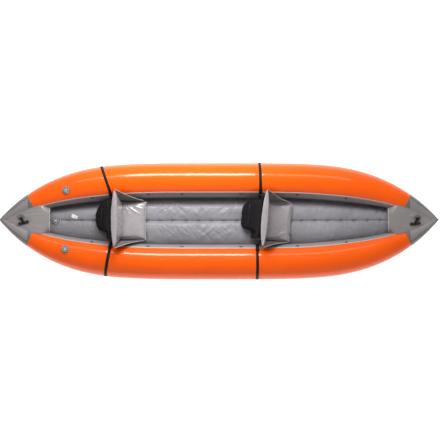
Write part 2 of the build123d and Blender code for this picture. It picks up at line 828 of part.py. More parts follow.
tube_straps, buckles, back_straps = [], [], {seat: [] for seat in seat_x}
for (seat, side), (x, slant) in straps.items():
    place = buckle_plane(x, slant)
    pieces = [make_tube_strap(x, slant), make_buckle_frame(place), make_cam_lever(place)]
    if side == "starboard":
        pieces = [piece.mirror(Plane.XZ) for piece in pieces]
    tube_straps.append(pieces[0])
    buckles.append(pieces[1])
    keep(f"{seat}_{side}_cam_lever", pieces[2])
    back_straps[seat].append(make_back_strap(seat, place, 1 if side == "port" else -1))
for seat in seat_x:
    keep(f"{seat}_back_straps", grouped(*back_straps[seat]))
keep("seat_tube_straps", grouped(*tube_straps))
keep("strap_buckle_frames", grouped(*buckles))

# ---- toggle handles --------------------------------------------------------------------------------------

deck_top = deck_height + deck_thickness
bar_radius, sleeve_radius = 1.6, 3.0
bar_height = deck_top + anchor_wall + sleeve_radius + 0.5
grip_height = deck_top + grip_radius + 1.0


def toggle_frame(end):
    """The anchor bar's plane: x towards the grip, y up and z along the bar."""
    (ax, ay), (gx, gy), _ = toggles[end]
    towards = Vector(gx - ax, gy - ay, 0).normalized()
    return Plane((ax, ay, bar_height), x_dir=towards, z_dir=towards.cross(UP))


def make_anchor(end):
    """A plate on the deck with two lugs, and the bar that they carry."""
    bar, half = toggle_frame(end), anchor_width / 2
    plate_low = deck_top + 0.3 - bar_height
    with BuildPart() as anchor:
        with BuildSketch(bar.offset(-half)):
            with Locations((0, plate_low + anchor_wall / 2)):
                Rectangle(26, anchor_wall)
        extrude(amount=anchor_width)
        for low in (-half, half - 4):
            with BuildSketch(bar.offset(low)):
                Circle(sleeve_radius)
                with Locations((0, plate_low / 2)):
                    Rectangle(2 * sleeve_radius, -plate_low)
            extrude(amount=4)
        with BuildSketch(bar.offset(-half)):
            Circle(bar_radius)
        extrude(amount=anchor_width)
    return anchor.part


def make_toggle_webbing(end):
    """A strap with a sleeve round the anchor's bar at one end and the grip at the other."""
    bar, half = toggle_frame(end), toggle_webbing / 2
    (ax, ay), (gx, gy), _ = toggles[end]
    run, rise = Vector(gx - ax, gy - ay, 0).length, grip_height - bar_height
    with BuildPart() as webbing:
        with BuildSketch(bar.offset(-half)):
            with BuildLine():
                low, high = (0, -1), (run, rise - 1)
                Polyline(low, high, (run, rise + 1), (0, 1), close=True)
            make_face()
            Circle(sleeve_radius)
            Circle(bar_radius + pin_clearance, mode=Mode.SUBTRACT)
        extrude(amount=toggle_webbing)
    return webbing.part


def make_grip(end, webbing):
    _, (gx, gy), angle = toggles[end]
    along = Vector(cos(radians(angle)), sin(radians(angle)), 0)
    centre = Vector(gx, gy, grip_height)
    with BuildPart() as grip:
        with BuildSketch(Plane(centre - along * (grip_length / 2), z_dir=along)):
            Circle(grip_radius)
        extrude(amount=grip_length)
        fillet(grip.edges(), radius=grip_radius * 0.5)
        add(webbing, mode=Mode.SUBTRACT)
    return grip.part


for end in toggles:
    webbing = make_toggle_webbing(end)
    keep(f"{end}_toggle_webbing", webbing)
    keep(f"{end}_toggle_grip", make_grip(end, webbing))
keep("toggle_anchors", grouped(*[make_anchor(end) for end in toggles]))

# ---- zips ------------------------------------------------------------------------------------------------

half_chain = degrees(chain_width / 2 / tube_radius)
chain = tube_band(-zip_half_length, zip_half_length, zip_angle - half_chain, zip_angle + half_chain,
                  lap_gap, lap_gap + chain_height)
keep("zip_chains", grouped(chain, chain.mirror(Plane.XZ)))

slider_start = slider_length / 2 + 20 - zip_half_length
middle = surface_plane(0, zip_angle)
slider_place = Plane(middle.origin + Vector(slider_start, 0, 0), x_dir=middle.x_dir, z_dir=middle.z_dir)
slider_roof = lap_gap + chain_height + 0.5
tab_pin_height = slider_roof + 2 + 2.6
with BuildPart() as slider:
    with BuildSketch(slider_place.offset(lap_gap + 0.8)):
        Rectangle(slider_length, chain_width + 4.4)
    extrude(amount=slider_roof + 2 - lap_gap - 0.8)
    with BuildSketch(slider_place.offset(0)):
        Rectangle(2 * slider_length, chain_width + 1.4)
    extrude(amount=slider_roof, mode=Mode.SUBTRACT)
    for low in (-5.5, 3.5):
        with BuildSketch(Plane(slider_place.from_local_coords(Vector(0, low, tab_pin_height)),
                               x_dir=slider_place.x_dir, z_dir=slider_place.y_dir)):
            Circle(2.4)
            with Locations((0, 1.3)):
                Rectangle(4.8, 2.6)
            Circle(1.2 + pin_clearance, mode=Mode.SUBTRACT)
        extrude(amount=2)
both_sides("zip_slider", slider.part)

with BuildPart() as zip_pull:
    with BuildSketch(Plane(slider_place.from_local_coords(Vector(0, -3.1, tab_pin_height)),
                           x_dir=slider_place.x_dir, z_dir=slider_place.y_dir)):
        Circle(2.2)
        with Locations((0, -pull_length / 2)):
            Rectangle(1.8, pull_length)
    extrude(amount=6.2)
    with BuildSketch(Plane(slider_place.from_local_coords(Vector(0, -5.5, tab_pin_height)),
                           x_dir=slider_place.x_dir, z_dir=slider_place.y_dir)):
        Circle(1.2)
    extrude(amount=11)
both_sides("zip_pull", zip_pull.part)

os.makedirs("parts", exist_ok=True)
for name, part in made.items():
    export_step(part, f"parts/{name}.step")
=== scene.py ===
"""Looks of the inflatable kayak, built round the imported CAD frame. Everything is in metres."""

import json
import math

import bmesh
import bpy
import numpy as np
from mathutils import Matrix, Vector
from mathutils.bvhtree import BVHTree


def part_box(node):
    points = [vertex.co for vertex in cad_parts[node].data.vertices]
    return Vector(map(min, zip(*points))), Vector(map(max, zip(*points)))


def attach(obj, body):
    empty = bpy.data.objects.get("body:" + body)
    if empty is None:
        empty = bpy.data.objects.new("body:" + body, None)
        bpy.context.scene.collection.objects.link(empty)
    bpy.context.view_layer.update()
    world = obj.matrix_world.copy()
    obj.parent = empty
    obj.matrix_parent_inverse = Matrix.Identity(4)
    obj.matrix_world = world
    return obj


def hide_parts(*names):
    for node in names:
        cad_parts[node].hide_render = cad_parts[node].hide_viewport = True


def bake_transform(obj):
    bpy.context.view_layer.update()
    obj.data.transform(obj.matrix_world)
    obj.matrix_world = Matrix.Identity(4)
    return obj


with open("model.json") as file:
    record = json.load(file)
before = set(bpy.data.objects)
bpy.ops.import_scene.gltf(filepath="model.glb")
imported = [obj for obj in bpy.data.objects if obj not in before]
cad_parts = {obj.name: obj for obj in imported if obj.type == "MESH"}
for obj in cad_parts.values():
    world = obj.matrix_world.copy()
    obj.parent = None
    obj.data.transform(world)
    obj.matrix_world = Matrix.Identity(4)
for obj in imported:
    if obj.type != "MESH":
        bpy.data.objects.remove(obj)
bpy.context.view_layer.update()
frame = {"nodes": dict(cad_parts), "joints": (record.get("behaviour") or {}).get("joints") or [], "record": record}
scene = bpy.context.scene
joints = {j["name"]: j for j in frame["joints"]}

# ---- the hull's shape, as in the CAD ---------------------------------------------------------------------

REACH = 1.8704
OFFSET = 0.3625
RADIUS = 0.1525
TIP = 0.020
RISE = 0.1375
TAPER_START = 0.870
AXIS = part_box("port_tube_skin")[0][2] + RADIUS
SKIN_END = 1.660
NOSE_START = 1.634
STRIP_ANGLES = (49.0, 119.0)
STRIP_END = 1.628
FLOOR_END = 1.543
FLOOR_MID = 0.070
DECK_EDGE = 1.503
DECK_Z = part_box("bow_deck_panel")[0][2]
UP = np.array([0.0, 0.0, 1.0])
SIDES = {"port": 1.0, "starboard": -1.0}


def climb(s):
    return RISE * (np.abs(s) / REACH) ** 3


def tube_r(s):
    into = np.maximum(0.0, np.abs(s) - TAPER_START) / (REACH - TAPER_START)
    return RADIUS - (RADIUS - TIP) * into**2.2


def tube_c(s):
    """Centre of the port tube at s."""
    s = np.asarray(s, float)
    return np.stack([s, OFFSET * (1 - (np.abs(s) / REACH) ** 4), AXIS + climb(s)], -1)


def tube_frame(s):
    """Outboard, upward and forward directions of the port tube's section at s."""
    s = np.asarray(s, float)
    share, way = np.abs(s) / REACH, np.where(s >= 0, 1.0, -1.0)
    inward, upward = -way * OFFSET * 4 * share**3 / REACH, way * RISE * 3 * share**2 / REACH
    t = np.stack([np.ones_like(s), inward, upward], -1)
    t /= np.linalg.norm(t, axis=-1, keepdims=True)
    out = np.cross(UP, t)
    out /= np.linalg.norm(out, axis=-1, keepdims=True)
    return out, np.cross(t, out), t


def on_tube(s, angle, lift=0.0, side=1.0):
    """Points on a tube: angle in degrees from its crown towards the cockpit."""
    s, angle, lift = np.broadcast_arrays(*(np.asarray(v, float) for v in (s, angle, lift)))
    out, up, _ = tube_frame(s)
    a = np.radians(angle)[..., None]
    d = up * np.cos(a) - out * np.sin(a)
    p = tube_c(s) + d * (tube_r(s) + lift)[..., None]
    p[..., 1] *= side
    return p


def tube_out(s, angle, side=1.0):
    """Outward directions of a tube's skin."""
    s, angle = np.broadcast_arrays(np.asarray(s, float), np.asarray(angle, float))
    out, up, t = tube_frame(s)
    a = np.radians(angle)[..., None]
    d = up * np.cos(a) - out * np.sin(a)
    slope = (tube_r(s + 0.001) - tube_r(s - 0.001)) / 0.002
    d = d - t * slope[..., None]
    d /= np.linalg.norm(d, axis=-1, keepdims=True)
    d[..., 1] *= side
    return d


def along_tube(s, side):
    """Forward direction of a tube at s."""
    return tube_frame(np.array(s))[2] * np.array([1, side, 1])


# ---- noise and creases -----------------------------------------------------------------------------------

TABLE = np.random.default_rng(5).random((64, 64))


def vnoise(x, y, seed=0):
    """Smooth noise from -1 to 1."""
    x, y = np.asarray(x, float) + 13.7 * seed, np.asarray(y, float) + 7.3 * seed
    xi, yi = np.floor(x).astype(int), np.floor(y).astype(int)
    fx, fy = x - xi, y - yi
    fx, fy = fx * fx * (3 - 2 * fx), fy * fy * (3 - 2 * fy)
    a, b = TABLE[xi % 64, yi % 64], TABLE[(xi + 1) % 64, yi % 64]
    c, d = TABLE[xi % 64, (yi + 1) % 64], TABLE[(xi + 1) % 64, (yi + 1) % 64]
    return 2 * ((a * (1 - fx) + b * fx) * (1 - fy) + (c * (1 - fx) + d * fx) * fy) - 1


def fbm(x, y, octaves=3, seed=0):
    return sum(vnoise(x * 2**i, y * 2**i, seed + i) / 2**i for i in range(octaves)) / 1.75


def smooth(x, low, high):
    """0 below low, 1 above high, and a smooth step between; low may be above high."""
    t = np.clip((np.asarray(x, float) - low) / (high - low), 0, 1)
    return t * t * (3 - 2 * t)


def crease(x, y, path, width, height):
    """Height of a fold along a polyline, sharp on its crest and fading at its ends."""
    best = np.full(np.shape(x), 1e9)
    where = np.zeros(np.shape(x))
    total = len(path) - 1
    for i in range(total):
        (ax, ay), (bx, by) = path[i], path[i + 1]
        dx, dy = bx - ax, by - ay
        t = np.clip(((x - ax) * dx + (y - ay) * dy) / (dx * dx + dy * dy), 0, 1)
        d = np.hypot(x - ax - t * dx, y - ay - t * dy)
        where = np.where(d < best, (i + t) / total, where)
        best = np.minimum(best, d)
    return height * np.exp(-((best / width) ** 1.4)) * np.sin(np.pi * np.clip(where, 0.02, 0.98)) ** 0.6


# ---- meshes ----------------------------------------------------------------------------------------------


def new_piece(name, verts, faces, mat, closed=True, shade=True):
    mesh = bpy.data.meshes.new(name)
    mesh.from_pydata(np.asarray(verts, float).tolist(), [], [list(map(int, f)) for f in faces])
    if closed:
        bm = bmesh.new()
        bm.from_mesh(mesh)
        bmesh.ops.remove_doubles(bm, verts=bm.verts, dist=1e-6)
        loose = [v for v in bm.verts if not v.link_faces]
        bmesh.ops.delete(bm, geom=loose, context="VERTS")
        bmesh.ops.recalc_face_normals(bm, faces=bm.faces)
        bm.to_mesh(mesh)
        bm.free()
    mesh.materials.append(mat)
    if shade:
        mesh.shade_smooth()
    obj = bpy.data.objects.new(name, mesh)
    scene.collection.objects.link(obj)
    return obj


def net(u, v):
    """Two grids: one follows u from row to row, the other follows v along each row."""
    return np.meshgrid(u, v, indexing="ij")


def quads(nu, nv, wrap_u=False, wrap_v=False, start=0):
    i, j = net(np.arange(nu - (not wrap_u)), np.arange(nv - (not wrap_v)))
    i2, j2 = (i + 1) % nu, (j + 1) % nv
    f = np.stack([i * nv + j, i2 * nv + j, i2 * nv + j2, i * nv + j2], -1).reshape(-1, 4)
    return (f + start).tolist()


def tube_faces(nu, nv):
    """Faces of a grid that closes round its second direction, with a flat cap at each end."""
    return quads(nu, nv, wrap_v=True) + [list(range(nv))[::-1], [(nu - 1) * nv + k for k in range(nv)]]


def slab(name, points, normals, thick, mat, keep=None, wrap_u=False, wrap_v=False):
    """A sheet of cloth with a thickness, from a grid of points; keep drops some of its cells."""
    nu, nv = points.shape[:2]
    cells_u, cells_v = nu if wrap_u else nu - 1, nv if wrap_v else nv - 1
    if keep is None:
        keep = np.ones((cells_u, cells_v), bool)
    t = np.asarray(thick)[..., None] if np.ndim(thick) else thick
    verts = np.concatenate([(points + normals * t).reshape(-1, 3), points.reshape(-1, 3)])
    n = nu * nv
    faces = []

    def kept(i, j):
        if wrap_u:
            i %= cells_u
        if wrap_v:
            j %= cells_v
        return 0 <= i < cells_u and 0 <= j < cells_v and keep[i, j]

    for i in range(cells_u):
        for j in range(cells_v):
            if not keep[i, j]:
                continue
            i2, j2 = (i + 1) % nu, (j + 1) % nv
            a, b, c, d = i * nv + j, i2 * nv + j, i2 * nv + j2, i * nv + j2
            faces.append((a, b, c, d))
            faces.append((d + n, c + n, b + n, a + n))
            for (p, q), (oi, oj) in (((a, b), (i, j - 1)), ((b, c), (i + 1, j)), ((c, d), (i, j + 1)),
                                     ((d, a), (i - 1, j))):
                if not kept(oi, oj):
                    faces.append((q, p, p + n, q + n))
    return new_piece(name, verts, faces, mat)


def frames_along(path):
    """Tangents and two cross directions along a polyline, without twist."""
    path = np.asarray(path, float)
    t = np.gradient(path, axis=0)
    t /= np.maximum(np.linalg.norm(t, axis=1, keepdims=True), 1e-9)
    n = np.zeros_like(t)
    first = np.cross(t[0], UP if abs(t[0][2]) < 0.9 else np.array([1.0, 0, 0]))
    n[0] = first / np.linalg.norm(first)
    for i in range(1, len(t)):
        v = n[i - 1] - t[i] * np.dot(n[i - 1], t[i])
        n[i] = v / np.linalg.norm(v)
    return t, n, np.cross(t, n)


def bead_mesh(path, radius, sides=10, closed=False):
    """Vertices and faces of a round bead along a path."""
    path = np.asarray(path, float)
    if closed:
        around = np.concatenate([path[-1:], path, path[:1]])
        t = around[2:] - around[:-2]
        t /= np.maximum(np.linalg.norm(t, axis=1, keepdims=True), 1e-9)
        ref = UP if np.abs(t[:, 2]).max() < 0.9 else np.array([0.31, 0.2, 0.93])
        n = np.cross(t, ref)
        n /= np.linalg.norm(n, axis=1, keepdims=True)
        b = np.cross(t, n)
    else:
        t, n, b = frames_along(path)
    a = np.linspace(0, 2 * np.pi, sides, endpoint=False)
    r = np.broadcast_to(np.asarray(radius, float), (len(path),))
    ring = n[:, None] * np.cos(a)[None, :, None] + b[:, None] * np.sin(a)[None, :, None]
    p = path[:, None] + ring * r[:, None, None]
    faces = quads(len(path), sides, True, True) if closed else tube_faces(len(path), sides)
    return p.reshape(-1, 3), faces


def joined_mesh(parts):
    verts, faces, n = [], [], 0
    for v, f in parts:
        verts.append(np.asarray(v, float))
        faces += [[k + n for k in face] for face in f]
        n += len(v)
    return np.concatenate(verts), faces


def bead(name, path, radius, mat, sides=10, closed=False):
    v, f = bead_mesh(path, radius, sides, closed)
    return new_piece(name, v, f, mat)


def ribbon_mesh(path, across, width, thick):
    """A flat strap with rounded edges along a path; across is its width direction at each point."""
    path = np.asarray(path, float)
    t = np.gradient(path, axis=0)
    t /= np.maximum(np.linalg.norm(t, axis=1, keepdims=True), 1e-9)
    across = np.broadcast_to(np.asarray(across, float), path.shape)
    across = across - t * (across * t).sum(1, keepdims=True)
    across = across / np.linalg.norm(across, axis=1, keepdims=True)
    up = np.cross(across, t)
    w, h, e = width / 2, thick / 2, min(thick / 2, width / 8)
    section = [(-w + e, -h), (-w / 3, -h), (w / 3, -h), (w - e, -h), (w, -h + e * 0.6), (w, h - e * 0.6),
               (w - e, h), (w / 3, h), (-w / 3, h), (-w + e, h), (-w, h - e * 0.6), (-w, -h + e * 0.6)]
    p = np.stack([path + across * a + up * b for a, b in section], 1)
    return p.reshape(-1, 3), tube_faces(len(path), len(section))


def turned_mesh(profile, origin, x, y, z, count=64):
    """A closed form turned about z: profile is a list of (radius, height) from the axis and back to it."""
    a = np.linspace(0, 2 * np.pi, count, endpoint=False)
    p = np.stack([np.stack([r * np.cos(a), r * np.sin(a), np.full(count, h)], -1) for r, h in profile])
    world = origin + p[..., :1] * x + p[..., 1:2] * y + p[..., 2:] * z
    return world.reshape(-1, 3), tube_faces(len(profile), count)


def box_mesh(centre, x, y, z, sx, sy, sz, chamfer=0.15):
    """A small block with chamfered ends, between two smaller faces and a wide middle."""
    c = np.asarray(centre, float)
    rows = []
    for h, k in ((-0.5, 1 - chamfer), (-0.5 + chamfer, 1), (0.5 - chamfer, 1), (0.5, 1 - chamfer)):
        for a, b in ((-0.5, -0.5), (0.5, -0.5), (0.5, 0.5), (-0.5, 0.5)):
            rows.append(c + x * (a * k * sx) + y * (b * k * sy) + z * (h * sz))
    return np.array(rows), tube_faces(4, 4)


# ---- materials -------------------------------------------------------------------------------------------


class Nodes:
    """A small helper that adds and links shader nodes."""

    def __init__(self, name):
        self.mat = bpy.data.materials.new(name)
        self.mat.use_nodes = True
        self.tree = self.mat.node_tree
        self.bsdf = self.tree.nodes["Principled BSDF"]
        self.coord = self.tree.nodes.new("ShaderNodeTexCoord").outputs["Object"]

    def add(self, kind, **values):
        node = self.tree.nodes.new(kind)
        for key, value in values.items():
            if hasattr(node, key) and not key[0].isupper():
                setattr(node, key, value)
            else:
                node.inputs[key.replace("_", " ")].default_value = value
        return node

    def link(self, a, b):
        self.tree.links.new(a, b)

    def stretch(self, scale):
        node = self.add("ShaderNodeMapping", Scale=scale)
        self.link(self.coord, node.inputs["Vector"])
        return node.outputs["Vector"]

    def noise(self, scale, detail=3.0, rough=0.55, vector=None):
        node = self.add("ShaderNodeTexNoise", Scale=scale, Detail=detail, Roughness=rough)
        self.link(vector or self.coord, node.inputs["Vector"])
        return node.outputs["Fac"]

    def math(self, kind, a, b):
        node = self.add("ShaderNodeMath", operation=kind)
        for i, value in enumerate((a, b)):
            if isinstance(value, (int, float)):
                node.inputs[i].default_value = value
            else:
                self.link(value, node.inputs[i])
        return node.outputs[0]

    def ramp(self, value, stops):
        node = self.add("ShaderNodeValToRGB")
        node.color_ramp.elements[0].position, node.color_ramp.elements[0].color = stops[0][0], stops[0][1]
        node.color_ramp.elements[1].position, node.color_ramp.elements[1].color = stops[-1][0], stops[-1][1]
        for place, color in stops[1:-1]:
            node.color_ramp.elements.new(place).color = color
        self.link(value, node.inputs["Fac"])
        return node.outputs["Color"]

    def weave(self, pitch):
        """Over and under of threads at a pitch in metres, in the object's three directions."""
        waves = []
        for axis in range(3):
            split = self.add("ShaderNodeSeparateXYZ")
            self.link(self.coord, split.inputs[0])
            phase = self.math("MULTIPLY", split.outputs[axis], 2 * math.pi / pitch)
            waves.append(self.math("SINE", phase, 0.0))
        return self.math("MULTIPLY", waves[0], self.math("ADD", waves[1], waves[2]))

    def bump(self, layers):
        """Layers are (height, distance in metres, strength), from coarse to fine."""
        last = None
        for height, distance, strength in layers:
            node = self.add("ShaderNodeBump", Distance=distance, Strength=strength)
            self.link(height, node.inputs["Height"])
            if last:
                self.link(last, node.inputs["Normal"])
            last = node.outputs["Normal"]
        self.link(last, self.bsdf.inputs["Normal"])

    def set(self, **values):
        for key, value in values.items():
            self.bsdf.inputs[key.replace("_", " ")].default_value = value


def shade(color, k):
    return tuple(min(1.0, c * k) for c in color) + (1.0,)


def coated_fabric(name, color, rough=0.3, coat=0.5, wrinkle=0.35, spread=0.08, weave=0.08, spec=0.4):
    """Gloss PVC on a woven base: soft colour change, a faint weave and shallow wrinkles."""
    n = Nodes(name)
    patch = n.noise(3.5, 4.0)
    n.link(n.ramp(patch, [(0.3, shade(color, 1 - spread)), (0.7, shade(color, 1 + spread))]),
           n.bsdf.inputs["Base Color"])
    worn = n.noise(26.0, 5.0, 0.65)
    n.link(n.math("ADD", n.math("MULTIPLY", worn, 0.16), rough - 0.08), n.bsdf.inputs["Roughness"])
    long = n.noise(5.0, 3.0, 0.5, n.stretch((1.0, 2.2, 2.2)))
    fine = n.noise(60.0, 4.0, 0.6)
    n.bump([(long, 0.012, wrinkle), (fine, 0.0012, wrinkle * 0.6), (n.weave(0.0022), 0.0002, weave)])
    n.set(Coat_Weight=coat, Coat_Roughness=0.14, Specular_IOR_Level=spec)
    return n.mat


def woven(name, color, pitch=0.0022, rough=0.8, depth=0.0004, sheen=0.2):
    n = Nodes(name)
    patch = n.noise(30.0, 4.0)
    n.link(n.ramp(patch, [(0.3, shade(color, 0.75)), (0.7, shade(color, 1.3))]), n.bsdf.inputs["Base Color"])
    n.bump([(n.noise(45.0, 3.0), 0.002, 0.3), (n.weave(pitch), depth, 0.8)])
    n.set(Roughness=rough, Sheen_Weight=sheen, Sheen_Roughness=0.4, Specular_IOR_Level=0.3)
    return n.mat


def moulded(name, color, rough=0.45, grain=0.25, metal=0.0, spread=0.12):
    n = Nodes(name)
    patch = n.noise(40.0, 3.0)
    n.link(n.ramp(patch, [(0.3, shade(color, 1 - spread)), (0.7, shade(color, 1 + spread))]),
           n.bsdf.inputs["Base Color"])
    scuff = n.noise(180.0, 4.0, 0.6)
    n.link(n.math("ADD", n.math("MULTIPLY", scuff, 0.2), rough - 0.1), n.bsdf.inputs["Roughness"])
    n.bump([(n.noise(900.0, 2.0), 0.0002, grain)])
    n.set(Metallic=metal)
    return n.mat


ORANGE = (0.91, 0.103, 0.001)
MATS = {
    "orange_pvc": coated_fabric("orange_pvc", ORANGE, 0.42, 0.70, 0.08, 0.04, spec=0.05),
    "bladder_film": coated_fabric("bladder_film", (0.80, 0.82, 0.82), 0.35, 0.2, 0.4, 0.03, 0.0),
    "gray_pvc": coated_fabric("gray_pvc", (0.150, 0.138, 0.133), 0.36, 0.30, 0.30),
    "deck_pvc": coated_fabric("deck_pvc", (0.255, 0.233, 0.230), 0.30, 0.50, 0.35),
    "strip_pvc": coated_fabric("strip_pvc", (0.27, 0.238, 0.243), 0.36, 0.30, 0.15),
    "light_welt": coated_fabric("light_welt", (0.47, 0.445, 0.42), 0.35, 0.3, 0.1),
    "gray_webbing": woven("gray_webbing", (0.07, 0.068, 0.068)),
    "floor_fabric": coated_fabric("floor_fabric", (0.25, 0.24, 0.262), 0.46, 0.12, 0.7, 0.12, spec=0.25),
    "eyelet_metal": moulded("eyelet_metal", (0.62, 0.60, 0.56), 0.28, 0.1, 1.0),
    "valve_plastic": moulded("valve_plastic", (0.10, 0.10, 0.10), 0.42),
    "cap_plastic": moulded("cap_plastic", (0.36, 0.37, 0.37), 0.38),
    "cap_recess": moulded("cap_recess", (0.075, 0.08, 0.085), 0.45),
    "plunger_plastic": moulded("plunger_plastic", (0.03, 0.03, 0.03), 0.4),
    "spring_steel": moulded("spring_steel", (0.55, 0.55, 0.56), 0.25, 0.05, 1.0),
    "seat_fabric": coated_fabric("seat_fabric", (0.31, 0.283, 0.296), 0.28, 0.6, 0.28, 0.10),
    # wing_fabric is a darker copy of seat_fabric: painted shade on the side wings.
    "wing_fabric": coated_fabric("wing_fabric", (0.19, 0.175, 0.175), 0.34, 0.40, 0.30, 0.10),
    "black_cloth": woven("black_cloth", (0.0030, 0.0022, 0.0034), 0.0018, 0.8, 0.00015, 0.01),
    "black_webbing": woven("black_webbing", (0.006, 0.006, 0.0065), 0.0026, 0.7, 0.0002, 0.02),
    "black_plastic": moulded("black_plastic", (0.013, 0.013, 0.014), 0.38),
    "black_rubber": moulded("black_rubber", (0.012, 0.012, 0.012), 0.5, 0.4),
    "zip_plastic": moulded("zip_plastic", (0.02, 0.02, 0.02), 0.35),
    "zip_metal": moulded("zip_metal", (0.12, 0.12, 0.12), 0.3, 0.1, 0.9),
    "tag_cloth": woven("tag_cloth", (0.62, 0.62, 0.60), 0.0012, 0.7, 0.0002, 0.1),
}


def place(obj, body, slot=None, stands_for=()):
    """Puts a piece on its body and hides the CAD nodes it stands for."""
    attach(obj, body)
    if stands_for:
        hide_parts(*([stands_for] if isinstance(stands_for, str) else stands_for))
    return obj


def group(name, parts, slot, stands_for=(), body="hull", **how):
    """One piece made of several small meshes."""
    return place(new_piece(name, *joined_mesh(parts), MATS[slot], **how), body, slot, stands_for)


# ---- tubes -----------------------------------------------------------------------------------------------

STRAPS = {
    ("front", "port"): (0.360, 2.0),
    ("front", "starboard"): (0.333, 0.0),
    ("rear", "port"): (-0.982, 13.0),
    ("rear", "starboard"): (-0.963, 4.0),
}
VALVE_HOLE = 0.0225
PIN_OUT, PIN_UP = 0.0315, 0.0066
PLEAT_PITCH = 0.085
BELLY_ANGLE = 152.0


def strap_s(x, slant, angle):
    return x + np.sin(np.radians(angle)) * tube_r(x) * math.tan(math.radians(slant))


def dent(s, angle, side_name):
    """How deep the straps press into a tube."""
    depth = 0.0
    for (_, side), (x, slant) in STRAPS.items():
        if side == side_name:
            depth = depth - 0.0014 * np.exp(-(((s - strap_s(x, slant, angle)) / 0.022) ** 2))
    return depth


def valve_frame(name):
    """Origin and directions of a valve: x along the hull and z out of it."""
    z = -np.array(joints[f"{name}_plunger_push"]["axis"])
    x = np.array(joints[f"{name}_cap_hinge"]["axis"]) * (-1 if name == "starboard" else 1)
    y = np.cross(z, x)
    pin = np.array(joints[f"{name}_cap_hinge"]["pos_m"])
    inboard = -1 if name != "starboard" else 1
    return pin - y * inboard * PIN_OUT - z * PIN_UP, x, y, z


def pierce(obj, origin, axis, radius):
    """Opens the fabric under a valve."""
    bm = bmesh.new()
    bm.from_mesh(obj.data)
    gone = []
    for v in bm.verts:
        d = np.array(v.co) - origin
        along = d @ axis
        if abs(along) < 0.03 and np.linalg.norm(d - axis * along) < radius:
            gone.append(v)
    bmesh.ops.delete(bm, geom=gone, context="VERTS")
    bm.to_mesh(obj.data)
    bm.free()


def stations(end, count, valve_x, reach, step):
    """Places along the hull from -end to end, closer together near a valve."""
    coarse = np.linspace(-end, end, count)
    fine = np.arange(valve_x - reach, valve_x + reach, step)
    return np.unique(np.concatenate([coarse[(coarse < fine[0] - 0.004) | (coarse > fine[-1] + 0.004)], fine]))


def pleats(s, angle):
    """Even pleats along a tube, from 0 to 1."""
    return np.abs(np.sin(np.pi * (s / PLEAT_PITCH + 0.25 * vnoise(s * 9, angle / 30, 3))))


def tube_cover(side_name, side):
    origin, _, _, axis = valve_frame(side_name)
    s = stations(SKIN_END, 250, origin[0], 0.05, 0.0052)
    ang = np.linspace(-180, 180, 120, endpoint=False)
    S, A = net(s, ang)
    far = np.abs(S)
    inner = np.exp(-(((A - 80) / 42.0) ** 2)) * smooth(far, 0.75, 1.15) * (1 - 0.6 * smooth(far, 1.5, 1.64))
    lift = 0.0013 * inner * (pleats(S, A) - 0.5)
    lift = lift + 0.0005 * fbm(S * 4, A / 35, 3, 1)
    lift = lift + 0.0008 * np.exp(-(((A + 150) / 1.6) ** 2))
    gather = np.exp(-(((far - STRIP_END) / 0.03) ** 2))
    lift = lift + 0.0005 * gather * np.sin(np.radians(A) * 46 + 2 * vnoise(A / 12, S * 3, 8))
    lift = lift + dent(S, A, side_name)
    faces = tube_faces(*S.shape)
    verts = on_tube(S, A, lift, side).reshape(-1, 3)
    obj = new_piece(f"{side_name}_tube_cover", verts, faces, MATS["orange_pvc"])
    pierce(obj, origin, axis, VALVE_HOLE)
    # Faces from just under the strip's lower edge down to BELLY_ANGLE take gray PVC instead of orange: painted
    # shade for the dark gap under the strip.
    obj.data.materials.append(MATS["gray_pvc"])
    for face in obj.data.polygons:
        c = face.center
        middle = tube_c(c.x)
        angle = math.degrees(math.atan2(middle[1] - c.y * side, c.z - middle[2]))
        face.material_index = int(STRIP_ANGLES[1] - 8 < angle < BELLY_ANGLE)
    return place(obj, "hull", "orange_pvc", f"{side_name}_tube_skin")


for side_name, side in SIDES.items():
    tube_cover(side_name, side)

# ---- gray strips with a lip, and cargo loops -------------------------------------------------------------


def strip_cover(side_name, side):
    s = np.linspace(-STRIP_END, STRIP_END, 300)
    a = np.linspace(STRIP_ANGLES[0], STRIP_ANGLES[1], 24)
    S, A = net(s, a)
    waves = smooth(np.abs(S), 0.7, 1.2) * pleats(S, A)
    lift = 0.0008 + 0.0010 * waves + 0.0006 * fbm(S * 7, A / 14, 3, 4) + dent(S, A, side_name)
    obj = slab(f"{side_name}_strip_cover", on_tube(S, A, lift, side), tube_out(S, A, side), 0.0012,
               MATS["strip_pvc"])
    place(obj, "hull", "gray_pvc", f"{side_name}_inner_strip")
    lip = slab(f"{side_name}_strip_lip", *lip_grid(side_name, side), 0.0014, MATS["light_welt"])
    return place(lip, "hull", "light_welt")


def lip_grid(side_name, side):
    s = np.linspace(-STRIP_END, STRIP_END, 300)
    a = np.linspace(STRIP_ANGLES[0] - 0.4, STRIP_ANGLES[0] + 4.6, 5)
    S, A = net(s, a)
    crown = 0.0008 * np.sin(np.pi * (A - a[0]) / (a[-1] - a[0]))
    return on_tube(S, A, 0.0016 + crown + dent(S, A, side_name), side), tube_out(S, A, side)


for side_name, side in SIDES.items():
    strip_cover(side_name, side)

LOOP_XS = (-1.130, -0.620, -0.323, 0.192, 0.690, 1.130)


